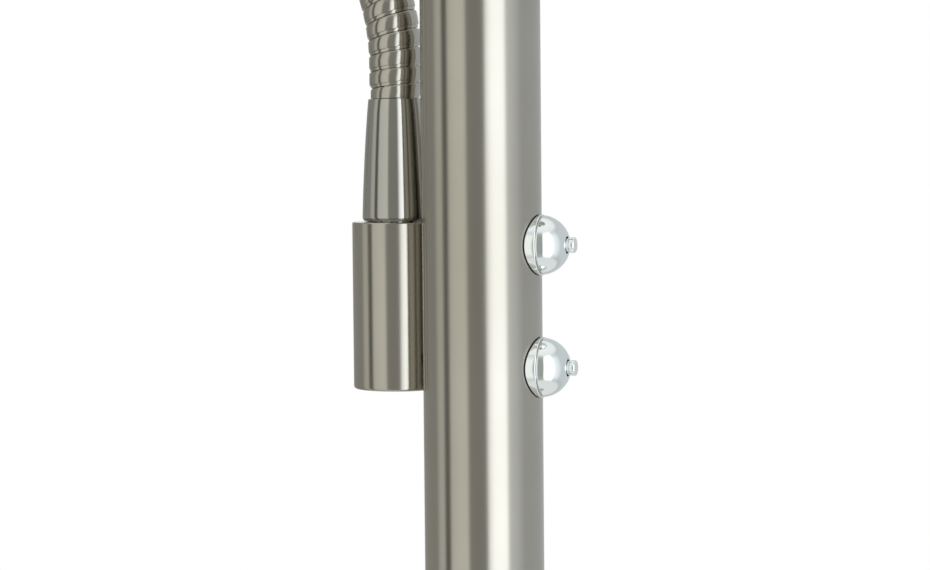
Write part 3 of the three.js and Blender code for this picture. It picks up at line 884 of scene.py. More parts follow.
@dataclass
class PushSwitches:
    """Two push switches through the column's wall, alike but for their height.

    Each has a gasket, a ring, a dome and a button. The upper one's pieces are modelled, and the
    lower one's are copies of them.
    """

    model: str = "upper"
    twin: str = "lower"
    sides: int = 128
    saddle_sides: int = 192
    bore: float = 5.3
    deep: float = 11.0
    reach: float = 12.0
    gasket_gap: float = 0.04
    gasket_front: float = 0.3
    ring_gap: float = 0.36
    ring_flare: float = 0.06
    ring_edge: float = 0.3
    back_edge: float = 0.06
    seam: float = 0.1
    dome_radius: float = 7.92
    hole_radius: float = 2.3
    hole_chamfer: float = 0.28
    dome_wall: float = 2.0
    stem_radius: float = 1.85
    head_length: float = 1.7
    proud: float = 0.2
    body: str = "lamp_stand"

    def node(self, piece: str) -> str:
        """The CAD node's name for one of the modelled switch's pieces."""
        return f"{self.model}_switch_{piece}"

    def height(self) -> float:
        """The modelled switch's height in millimetres."""
        return middle(self.node("ring")).z

    def stand(self, piece: bpy.types.Object) -> None:
        """Lays a piece that was turned about Z along the modelled switch's axis."""
        place(piece, Matrix.Translation((0, 0, self.height())) @ Matrix.Rotation(
            math.pi / 2, 4, "Y"))

    def saddle(self, gap: float) -> bpy.types.Object:
        """A bar in the column's place, for cutting a saddle.

        Args:
            gap: how much wider than the column it is, all round, in millimetres.

        Returns:
            The bar.
        """
        reach = Vector((0, 0, self.reach))
        centre = Vector((0, 0, self.height()))
        column = corners("upper_pole_tube")[1].x
        return dowel(column + gap, centre - reach, centre + reach, self.saddle_sides)

    def washer(self) -> bpy.types.Object:
        """The rubber gasket, a thin skin saddled to the column's round.

        Returns:
            The upper switch's gasket, in place.
        """
        low, high = corners(self.node("washer"))
        radius = (high.z - low.z) / 2 + self.ring_flare
        front = corners("upper_pole_tube")[1].x + self.gasket_front
        height = self.height()
        piece = spun(f"{self.model}_washer", [
            (self.bore, self.deep), (radius, self.deep), (radius, high.x + 2),
            (self.bore, high.x + 2)], self.sides)
        self.stand(piece)
        drill(piece, self.saddle(self.gasket_gap))
        drill(piece, spun("shell", [
            (front, height - self.reach), (front + 9, height - self.reach),
            (front + 9, height + self.reach), (front, height + self.reach)],
            self.saddle_sides))
        smooth(piece)
        return piece

    def ring(self) -> bpy.types.Object:
        """The chrome ring: its back is saddled to the column, and its front edge is rounded.

        Returns:
            The upper switch's ring, in place.
        """
        low, high = corners(self.node("ring"))
        radius = (high.z - low.z) / 2 + self.ring_flare
        edge = self.ring_edge
        loops = [self.deep + 0.9 * number for number in range(1, 6)]
        piece = spun(f"{self.model}_ring", [
            (self.bore, self.deep), (radius, self.deep), *[(radius, at) for at in loops],
            *arc((radius - edge, high.x - edge), edge, 0, 90, 6), (self.bore, high.x)],
            self.sides)
        self.stand(piece)
        drill(piece, self.saddle(self.ring_gap))
        bevel(piece, self.back_edge, 1)
        smooth(piece)
        return piece

    def dome(self) -> bpy.types.Object:
        """The polished dome, with a chamfered hole for the button.

        Returns:
            The upper switch's dome, in place.
        """
        high = corners(self.node("dome"))[1]
        foot = corners(self.node("ring"))[1].x + self.seam
        radius = self.dome_radius
        centre = high.x - math.sqrt(radius**2 - self.hole_radius**2)
        seam = math.degrees(math.asin((foot - centre) / radius))
        apex = math.degrees(math.acos((self.hole_radius + self.hole_chamfer) / radius))
        skin = arc((0, centre), radius, seam, apex, 40)
        wall = arc((0, centre), radius - self.dome_wall, apex - 4, seam + 12, 16)
        piece = spun(f"{self.model}_dome", [
            (self.bore + 0.5, foot), (skin[0][0] - 0.15, foot), *skin[1:],
            (self.hole_radius, skin[-1][1] - 0.22), (self.hole_radius, wall[0][1]),
            *[point for point in wall if point[0] > self.hole_radius + 0.3],
            ], self.sides)
        self.stand(piece)
        smooth(piece, 40)
        return piece

    def button(self) -> bpy.types.Object:
        """The button's stem and its domed head.

        Returns:
            The upper switch's button, in place.
        """
        low, high = corners(self.node("button"))
        radius = (high.z - low.z) / 2
        tip = high.x + self.proud
        neck = tip - self.head_length
        piece = spun(f"{self.model}_button", [
            (0, low.x), (radius - 0.2, low.x), (radius, low.x + 0.2), (radius, neck - 5),
            (self.stem_radius, neck - 4.6), (self.stem_radius, neck),
            (radius - 0.15, neck), (radius, neck + 0.15), (radius, tip - 0.55),
            *arc((radius - 0.5, tip - 0.55), 0.5, 0, 78, 6)[1:], (0, tip)], 64)
        self.stand(piece)
        smooth(piece, 40)
        return piece

    def copied(self, piece: bpy.types.Object, part: str) -> bpy.types.Object:
        """A copy of one of the upper switch's pieces at the lower one's height.

        Args:
            piece: the piece, before it is fitted.
            part: which of the switch's parts it is.

        Returns:
            The copy, with its own mesh.
        """
        made = piece.copy()
        made.data = piece.data.copy()
        made.name = f"{self.twin}_{part}"
        made.data.name = made.name
        bpy.context.scene.collection.objects.link(made)
        drop = middle(f"{self.twin}_switch_ring").z - self.height()
        place(made, Matrix.Translation((0, 0, drop)))
        return made

    def build(self) -> None:
        """Builds both switches, and gives the CAD parts behind them their surfaces."""
        modelled = {
            "washer": self.washer(), "ring": self.ring(), "dome": self.dome(),
            "button": self.button()}
        copies = {part: self.copied(piece, part) for part, piece in modelled.items()}
        for which, pieces in ((self.model, modelled), (self.twin, copies)):
            for part, piece in pieces.items():
                finish = RUBBER if part == "washer" else CHROME
                body = f"{which}_button" if part == "button" else self.body
                fit(piece, finish, body, f"{which}_switch_{part}")
            for part, finish in {
                "bushing": BRASS, "nut": ZINC, "spring": ZINC, "body": PLASTIC,
            }.items():
                dress(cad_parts[f"{which}_switch_{part}"], finish)


# ---- reading arm --------------------------------------------------------------------------


@dataclass
class ArmHolder:
    """The cup on the column's back, with its grub screw, and the ferrule that turns in it."""

    edge: float = 0.8
    mouth_edge: float = 0.25
    bore: float = 8.9
    wall_foot: float = 7.5
    nipple_hole: float = 4.3
    screw_hole: float = 1.8
    key_radius: float = 0.85
    key_depth: float = 1.6
    screw_sunk: float = 0.4
    ferrule_bore: float = 3.3
    ferrule_gap: float = 0.3
    groove: float = 1.5
    sides: int = 144
    body: str = "lamp_stand"
    arm_body: str = "arm_base"
    ferrule_top: float = 7.6
    ferrule_foot: float = 9.5
    spigot: float = 7.0

    def on_axis(self, piece: bpy.types.Object) -> None:
        """Moves a piece that was turned about Z to the cup's axis."""
        place(piece, Matrix.Translation(arm_axis()) @ arm_side())

    def cup(self) -> None:
        """The closed cup, drilled for the wires and for the grub screw."""
        low, high = corners("arm_holder_cup")
        radius = (high.y - low.y) / 2
        nipple = middle("wire_nipple").z
        screw = middle("arm_grub_screw").z
        loops = sorted({nipple - 5.5, nipple + 5.5, screw - 3, screw + 3})
        inner_loops = [height for height in loops if height > low.z + self.wall_foot + 1]
        piece = spun("arm_cup", [
            (0, low.z), *arc((radius - self.edge, low.z + self.edge), self.edge, -90, 0, 10),
            *[(radius, height) for height in loops],
            (radius, high.z - self.mouth_edge), (radius - self.mouth_edge, high.z),
            (self.bore + 0.2, high.z), (self.bore, high.z - 0.2),
            *[(self.bore, height) for height in reversed(inner_loops)],
            (self.bore, low.z + self.wall_foot), (0, low.z + self.wall_foot)], self.sides)
        self.on_axis(piece)
        side = arm_side() @ Vector((0, 1, 0))
        start = arm_axis() + side * 6 + Vector((0, 0, screw))
        drill(piece, dowel(self.screw_hole, start, start + side * 10))
        inwards = arm_side() @ Vector((1, 0, 0))
        start = arm_axis() + inwards * 4 + Vector((0, 0, nipple))
        drill(piece, dowel(self.nipple_hole, start, start + inwards * 12))
        smooth(piece)
        fit(piece, CUP_NICKEL, self.body, "arm_holder_cup")

    def grub_screw(self) -> None:
        """The grub screw, with a socket for a key."""
        low, high = corners("arm_grub_screw")
        cup_low, cup_high = corners("arm_holder_cup")
        radius = (high.z - low.z) / 2
        outer = (cup_high.y - cup_low.y) / 2 - self.screw_sunk
        inner = self.spigot - 1
        length = outer - inner
        piece = spun("grub_screw", [
            (0, 0), (radius - 0.6, 0), (radius, 0.5), (radius, length - 0.25),
            (radius - 0.25, length), (0, length)], 48)
        top = Vector((0, 0, length))
        drill(piece, hex_socket(
            self.key_radius, top - Vector((0, 0, self.key_depth)), top + Vector((0, 0, 1))))
        height = Matrix.Translation((0, 0, (low.z + high.z) / 2))
        outwards = Matrix.Translation((0, inner, 0)) @ Matrix.Rotation(-math.pi / 2, 4, "X")
        place(piece, height @ Matrix.Translation(arm_axis()) @ arm_side() @ outwards)
        smooth(piece)
        fit(piece, ZINC, self.body, "arm_grub_screw")

    def ferrule(self) -> None:
        """The tapered ferrule, with its spigot in the cup."""
        low, high = corners("arm_ferrule")
        foot = corners("arm_holder_cup")[1].z + self.ferrule_gap
        wide, top = self.ferrule_foot, self.ferrule_top
        length = high.z - foot
        groove = middle("arm_grub_screw").z
        bore, spigot, floor = self.ferrule_bore, self.spigot, self.spigot - self.groove
        taper = [
            (top + (wide - top) * share, foot + length * up)
            for up, share in ((0.25, 0.86), (0.5, 0.64), (0.7, 0.42), (0.88, 0.18))]
        piece = spun("ferrule", [
            (bore, low.z), (spigot - 0.4, low.z), (spigot, low.z + 0.4),
            (spigot, groove - 2), (floor, groove - 2), (floor, groove + 2),
            (spigot, groove + 2), (spigot, foot), (wide - 0.75, foot),
            (wide - 0.35, foot + 0.12),
            (wide - 0.05, foot + 0.6), (wide, foot + 1.2), *taper,
            (top, high.z - 0.3), (top - 0.08, high.z - 0.08), (top - 0.25, high.z),
            (top - 0.55, high.z - 0.9), (bore, high.z - 0.9)], self.sides)
        self.on_axis(piece)
        smooth(piece)
        fit(piece, FERRULE_NICKEL, self.arm_body, "arm_ferrule")

    def build(self) -> None:
        """Builds the holder."""
        self.cup()
        self.grub_screw()
        self.ferrule()
        dress(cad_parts["arm_swivel_bush"], PLASTIC)
        dress(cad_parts["wire_nipple"], BRASS)
        dress(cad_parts["wire_nipple_nut"], ZINC)


@dataclass
class ArmRoute:
    """The arm's centreline: straight, a short bend outwards, then the long arc over and down."""

    straight: float = 9.5
    root_radius: float = 54.0
    root_angle: float = 30.0
    sweep_radius: float = 165.0
    sweep_angle: float = 115.0
    links: int = 9
    start: Vector = field(default_factory=lambda: arm_axis() + Vector(
        (0, 0, corners("arm_ferrule")[1].z)))
    outwards: Vector = field(default_factory=lambda: arm_axis().normalized())

    def stretches(self) -> list[tuple[float, float]]:
        """The route's three stretches.

        Returns:
            Each one's length, and the angle in radians that it turns through.
        """
        root, sweep = math.radians(self.root_angle), math.radians(self.sweep_angle)
        return [(self.straight, 0.0), (self.root_radius * root, root),
                (self.sweep_radius * sweep, sweep)]

    def length(self) -> float:
        """The whole centreline's length in millimetres."""
        return sum(length for length, _ in self.stretches())

    def at(self, distance: float) -> tuple[Vector, float]:
        """A place on the centreline.

        Args:
            distance: how far along it is, in millimetres.

        Returns:
            The place, and the centreline's lean from upright there, in radians.
        """
        point, lean, left = self.start.copy(), 0.0, distance
        stretches = self.stretches()
        for number, (length, turn) in enumerate(stretches):
            walked = left if number == len(stretches) - 1 else min(left, length)
            bend = turn * walked / length
            chord = 2 * walked * math.sin(bend / 2) / bend if bend else walked
            point += chord * math.sin(lean + bend / 2) * self.outwards
            point.z += chord * math.cos(lean + bend / 2)
            lean += bend
            left -= walked
        return point, lean

    def joints(self) -> list[float]:
        """The places of the hinges of the frame's chain.

        Returns:
            How far along the centreline each one is, in millimetres.
        """
        root = self.straight + self.root_radius * math.radians(self.root_angle)
        share = (self.length() - root) / (self.links - 1)
        return [root + number * share for number in range(self.links - 1)]

    def curve(self, step: float = 1.5) -> bpy.types.Object:
        """The centreline as a curve, for bending pieces along.

        Args:
            step: the distance between its points in millimetres.

        Returns:
            The curve's object.
        """
        count = int(self.length() / step)
        data = bpy.data.curves.new("arm_centreline", "CURVE")
        data.dimensions = "3D"
        data.twist_mode = "MINIMUM"
        spline = data.splines.new("POLY")
        spline.points.add(count)
        for number, point in enumerate(spline.points):
            point.co = (*(self.at(self.length() * number / count)[0] * MM), 1.0)
        guide = bpy.data.objects.new("arm_centreline", data)
        bpy.context.scene.collection.objects.link(guide)
        return guide


@dataclass
class Gooseneck:
    """The flexible neck: a steel strip wound into a tube, each turn hooked over the one before."""

    route: ArmRoute
    pitch: float = 4.52
    phase: float = -2.2
    radius: float = 7.2
    step_radius: float = 6.82
    groove_radius: float = 6.4
    wall: float = 0.9
    sides: int = 44
    reach: float = 17.0
    pressed: float = 3.2
    narrowed: float = 0.955
    sunk: float = 0.6
    end_gap: float = 0.3

    def strip(self) -> list[Point]:
        """One turn's section: a narrow step, then the wide band that hooks over it.

        Returns:
            Its points, as radius and height in millimetres.
        """
        share = [
            (self.groove_radius, 0.0), (self.step_radius, 0.03),
            (self.step_radius + 0.14, 0.19), (self.step_radius + 0.1, 0.21),
            (self.radius - 0.06, 0.218), (self.radius, 0.25),
            (self.radius + 0.04, 0.6), (self.radius, 0.92), (self.radius - 0.12, 0.965),
            (self.groove_radius, 0.975), (self.groove_radius, 1.0)]
        return [(radius, part * self.pitch) for radius, part in share]

    def wind(self, name: str, first: int, last: int) -> bpy.types.Object:
        """Winds the strip for some turns, straight along Z.

        Args:
            name: the piece's name.
            first: the first turn's number, counted from the ferrule.
            last: the number after the last turn's.

        Returns:
            The wound skin, with no thickness yet.
        """
        piece = draw_outline(name, self.strip(), closed=False)
        bpy.ops.mesh.select_all(action="SELECT")
        bpy.ops.transform.translate(value=(0, 0, (first * self.pitch + self.phase) * MM))
        bpy.ops.object.mode_set(mode="OBJECT")
        screw = piece.modifiers.new("winding", "SCREW")
        screw.axis = "Z"
        screw.angle = math.tau
        screw.screw_offset = self.pitch * MM
        screw.iterations = last - first
        screw.steps = screw.render_steps = self.sides
        apply_modifiers(piece)
        bpy.ops.object.mode_set(mode="EDIT")
        bpy.ops.mesh.select_all(action="SELECT")
        bpy.ops.mesh.remove_doubles(threshold=1e-6)
        bpy.ops.mesh.normals_make_consistent(inside=False)
        bpy.ops.object.mode_set(mode="OBJECT")
        return piece

    def trim(self, piece: bpy.types.Object, height: float, keep_above: bool) -> None:
        """Cuts a wound piece square across.

        Args:
            piece: the piece, straight along Z.
            height: where it is cut.
            keep_above: whether the upper part is the one that stays.
        """
        take(piece)
        bpy.ops.object.mode_set(mode="EDIT")
        bpy.ops.mesh.select_all(action="SELECT")
        bpy.ops.mesh.bisect(
            plane_co=(0, 0, height * MM), plane_no=(0, 0, 1), clear_inner=keep_above,
            clear_outer=not keep_above)
        bpy.ops.object.mode_set(mode="OBJECT")

    def press(self, piece: bpy.types.Object) -> None:
        """Narrows the band that is pressed into the ferrule.

        Args:
            piece: the neck's first piece, straight along Z.
        """
        for vertex in piece.data.vertices:
            if vertex.co.z < self.pressed * MM:
                vertex.co.x *= self.narrowed
                vertex.co.y *= self.narrowed

    def thicken(self, piece: bpy.types.Object, guide: bpy.types.Object) -> None:
        """Gives a wound skin its wall, and bends it along the arm.

        Args:
            piece: the skin, straight along Z.
            guide: the arm's centreline.
        """
        wall = piece.modifiers.new("wall", "SOLIDIFY")
        wall.thickness = self.wall * MM
        wall.offset = -1
        bend = piece.modifiers.new("bend", "CURVE")
        bend.object = guide
        bend.deform_axis = "POS_Z"
        apply_modifiers(piece)

    def build(self) -> None:
        """Builds the neck, one piece for each of the frame's hinges."""
        guide = self.route.curve()
        joints = self.route.joints()
        half = (joints[1] - joints[0]) / 2
        turns = [round((joint + half - self.phase) / self.pitch) for joint in joints]
        total = self.route.length()
        for number, joint in enumerate(joints):
            first = turns[number - 1] if number else -1
            final = number == len(joints) - 1
            last = math.ceil(total / self.pitch) + 1 if final else turns[number]
            piece = self.wind(f"neck_winding_{number + 1}", first, last)
            nodes = [f"gooseneck_link_{number + 1}"]
            if not number:
                self.trim(piece, -self.sunk, keep_above=True)
                self.press(piece)
            if final:
                self.trim(piece, total - self.end_gap, keep_above=False)
                nodes.append(f"gooseneck_link_{number + 2}")
            self.thicken(piece, guide)
            smooth(piece, 35)
            dress(piece, STRIP_NICKEL)
            start, end = (self.route.at(joint + side * self.reach)[0] * MM for side in (-1, 1))
            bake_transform(piece)
            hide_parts(*nodes)
        bpy.data.objects.remove(guide)


@dataclass
class ReadingSpot:
    """The reading head: collar, cone shade, lampholder and bulb."""

    route: ArmRoute
    collar_radius: float = 9.5
    collar_length: float = 20.0
    collar_edge: float = 0.5
    grip_heights: tuple[float, ...] = (8.0, 12.0)
    grip_depth: float = 0.5
    back_radius: float = 20.0
    mouth_radius: float = 34.0
    mouth_roll: float = 0.7
    length: float = 82.0
    shoulder: float = 7.0
    back_rounding: float = 5.5
    wall: float = 1.0
    gap: float = 0.3
    bore: float = 3.3
    holder_radius: float = 12.5
    holder_length: float = 16.0
    bulb_radius: float = 25.0
    bulb_length: float = 44.0
    bulb_inset: float = 16.0
    bulb_ribs: int = 9
    body: str = "reading_head"

    def stand(self, piece: bpy.types.Object) -> None:
        """Moves a piece that was turned about Z to the end of the arm."""
        point, lean = self.route.at(self.route.length())
        place(piece, Matrix.Translation(point) @ arm_side() @ Matrix.Rotation(-lean, 4, "Y"))

    def collar(self) -> None:
        """The turned collar between neck and shade, with two grooves for the fingers."""
        radius, length = self.collar_radius, self.collar_length
        grooves: list[Point] = []
        floor = radius - self.grip_depth
        for height in self.grip_heights:
            grooves += [(radius, height - 0.8), (floor, height - 0.4),
                        (floor, height + 0.4), (radius, height + 0.8)]
        piece = spun("spot_collar_turned", [
            (self.bore, 0), *arc((radius - 1.6, 1.6), 1.6, -90, 0, 6), *grooves,
            (radius, length - self.collar_edge), (radius - self.collar_edge, length),
            (self.bore, length)], 96)
        self.stand(piece)
        smooth(piece)
        fit(piece, FERRULE_NICKEL, self.body, "spot_collar")

    def shade(self) -> None:
        """The spun cone shade: nickel outside, white enamel inside, and a rolled mouth."""
        back = self.collar_length + self.gap
        mouth = back + self.length
        radius, wall = self.back_radius, self.wall
        rounding, lip = self.back_rounding, self.mouth_roll
        outer = [
            (self.bore, back), (radius - 6, back), *arc(
                (radius - 6, back + rounding), rounding, -80, -10, 8),
            (radius, back + self.shoulder), (self.mouth_radius - 0.2, mouth - 1.2)]
        roll = arc((self.mouth_radius - lip, mouth - lip), lip, 0, 180, 8)
        inner = [
            (radius - wall, back + self.shoulder + 0.5), *arc(
                (radius - 6, back + rounding), rounding - wall, -10, -80, 6),
            (radius - 6, back + wall),
            (self.bore, back + wall)]
        piece = spun("spot_shade_spun", [*outer, *roll, *inner], 144)
        dress(piece, SPUN_NICKEL)
        slope = (self.mouth_radius - radius) / (self.length - self.shoulder)
        dress_faces(piece, ENAMEL, lambda at, normal: (
            at.z > back + wall / 2 and normal.dot(Vector((at.x, at.y, 0)).normalized())
            < 0.2 + slope and normal.z > -0.5 and at.z < mouth - 0.6
            and math.hypot(at.x, at.y) < radius - wall / 2 + slope * (
                at.z - back - self.shoulder if at.z > back + self.shoulder else 0)))
        self.stand(piece)
        smooth(piece)
        fit(piece, SPUN_NICKEL, self.body, "spot_shade")

    def lampholder(self) -> None:
        """The ceramic lampholder."""
        foot = self.collar_length + 2 * self.gap + self.wall
        top = foot + self.holder_length
        radius = self.holder_radius
        piece = spun("spot_lampholder_ceramic", [
            (self.bore, foot), (radius - 3, foot), (radius, foot + 5), (radius, top - 3),
            (radius - 0.8, top - 2.6), (radius - 0.8, top), (self.bore, top)], 72)
        bevel(piece, 0.35)
        self.stand(piece)
        smooth(piece)
        fit(piece, CERAMIC, self.body, "spot_lampholder")

    def bulb(self) -> None:
        """The reflector bulb: ribbed body, rim and moulded lens."""
        mouth = self.collar_length + self.gap + self.length
        end = mouth - self.bulb_inset
        foot = end - self.bulb_length
        neck = self.collar_length + 3 * self.gap + self.wall + self.holder_length
        radius = self.bulb_radius
        ribs: list[Point] = []
        lowest, highest = foot + 18, end - 10
        for number in range(self.bulb_ribs):
            share = number / (self.bulb_ribs - 1)
            height = lowest + (highest - lowest) * share
            width = radius - 7 + 6.4 * share
            ribs += [(width - 0.7, height - 0.3), (width, height), (width, height + 1.0),
                     (width - 0.5, height + 1.3)]
        piece = spun("spot_bulb_body", [
            (0, neck), (8, neck), (8, foot + 6), (14, foot + 12), *ribs,
            (radius, end - 7), (radius, end - 1), *arc(
                (radius - 1, end - 1), 1, 0, 90, 4)[1:], (radius - 2.2, end),
            (radius - 2.4, end - 0.6), (radius - 3, end - 0.5),
            *[(radius * share, end + 1.2 - 1.6 * share ** 2) for share in (
                0.8, 0.6, 0.4, 0.2)], (0, end + 1.2)], 96)
        dress(piece, BULB_SHELL)
        dress_faces(piece, LENS, lambda at, normal: (
            at.z > end - 0.7 and math.hypot(at.x, at.y) < radius - 2.6 and normal.z > 0.5))
        self.stand(piece)
        smooth(piece)
        fit(piece, BULB_SHELL, self.body, "spot_bulb")

    def build(self) -> None:
        """Builds the reading head."""
        self.collar()
        self.shade()
        self.lampholder()
        self.bulb()


# ---- uplighter ----------------------------------------------------------------------------


@dataclass
class Uplighter:
    """The bowl on top, with its neck and light engine."""

    wall: float = 1.2
    flat_radius: float = 45.0
    bore: float = 5.3
    steps: int = 28
    rim_radius: float = 0.9
    cover_wall: float = 2.0
    cover_crown: float = 1.5
    cover_rounding: float = 8.0
    body: str = "lamp_stand"

    def neck(self) -> None:
        """The turned neck that widens from the column to the bowl."""
        low, high = corners("bowl_neck")
        column = corners("upper_pole_tube")[1].x
        top = high.x
        flare = arc((top + 1, low.z + 5), top + 1 - column, 180, 118, 14)
        piece = spun("bowl_neck_turned", [
            (self.bore, low.z), (column - 0.35, low.z), (column, low.z + 0.35),
            (column, low.z + 2), (column - 0.5, low.z + 2.3), (column - 0.5, low.z + 3),
            (column, low.z + 3.3), *flare, (top, high.z - 6), (top, high.z - 0.5),
            (top - 0.5, high.z), (self.bore, high.z)], 128)
        smooth(piece)
        fit(piece, SPUN_NICKEL, self.body, "bowl_neck")

    def side(self, share: float) -> tuple[Point, Point]:
        """A point of the bowl's outer side.

        Args:
            share: how far up the side it is, from 0 to 1.

        Returns:
            Its radius and height, and the side's direction there.
        """
        low, high = corners("uplighter_bowl")
        radius, depth = high.x, high.z - low.z
        guide = [
            Vector((self.flat_radius, low.z)), Vector((radius * 0.72, low.z)),
            Vector((radius * 0.96, low.z + depth * 0.42)), Vector((radius, high.z))]
        rest = 1 - share
        point = (rest**3 * guide[0] + 3 * rest**2 * share * guide[1]
                 + 3 * rest * share**2 * guide[2] + share**3 * guide[3])
        way = (rest**2 * (guide[1] - guide[0]) + 2 * rest * share * (guide[2] - guide[1])
               + share**2 * (guide[3] - guide[2])).normalized()
        return (point.x, point.y), (way.x, way.y)

    def bowl(self) -> None:
        """The spun bowl: nickel outside, white enamel inside, and a rolled rim."""
        low, high = corners("uplighter_bowl")
        outer: list[Point] = []
        inner: list[Point] = []
        for number in range(self.steps + 1):
            (radius, height), (across, up) = self.side(number / self.steps * 0.985)
            outer.append((radius, height))
            inner.append((radius - up * self.wall, height + across * self.wall))
        rim = self.rim_radius
        roll = arc((high.x - rim, high.z - rim), rim, 0, 180, 8)
        piece = spun("uplighter_bowl_spun", [
            (self.bore, low.z), *outer, *roll, *inner[::-1], (self.bore, low.z + self.wall)],
            192)
        dress(piece, SPUN_NICKEL)
        dress_faces(piece, ENAMEL, lambda at, normal: (
            normal.dot(Vector((at.x, at.y, 0)).normalized()) < 0.05 and normal.z > 0
            and at.z < high.z - rim and at.z > low.z + self.wall * 0.8))
        smooth(piece)
        fit(piece, SPUN_NICKEL, self.body, "uplighter_bowl")

    def opal_cover(self) -> None:
        """The opal cover over the diodes."""
        low, high = corners("led_opal_cover")
        radius, wall = high.x, self.cover_wall
        crown, rounding = self.cover_crown, self.cover_rounding
        shoulder = high.z - crown - rounding
        piece = spun("opal_cover_moulded", [
            (radius - wall, low.z), (radius - 0.3, low.z), (radius, low.z + 0.3),
            *arc((radius - rounding, shoulder), rounding, 0, 84, 12),
            (radius * 0.5, high.z - crown * 0.3), (0, high.z), (0, high.z - wall),
            (radius * 0.5, high.z - crown * 0.3 - wall),
            *arc((radius - rounding, shoulder), rounding - wall, 84, 0, 10)], 128)
        smooth(piece)
        fit(piece, OPAL, self.body, "led_opal_cover")

    def build(self) -> None:
        """Builds the uplighter, and gives its CAD parts their surfaces."""
        self.neck()
        self.bowl()
        self.opal_cover()
        for node, finish in {
            "led_heat_sink": ALUMINIUM, "led_board": BOARD, "bowl_lock_nut": ZINC,
            "bowl_stud": ZINC,
        }.items():
            dress(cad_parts[node], finish)


# ---- studio -------------------------------------------------------------------------------


def set_stops(ramp: bpy.types.Node, stops: Sequence[tuple[float, Sequence[float]]]) -> None:
    """Gives a colour ramp its stops.

    Args:
        ramp: the ramp's node.
        stops: each stop's place, from 0 to 1, and its colour with alpha.
    """
    elements = ramp.color_ramp.elements
    while len(elements) > 1:
        elements.remove(elements[-1])
    for number, (position, colour) in enumerate(stops):
        stop = elements.new(position) if number else elements[0]
        stop.position = position
        stop.color = colour


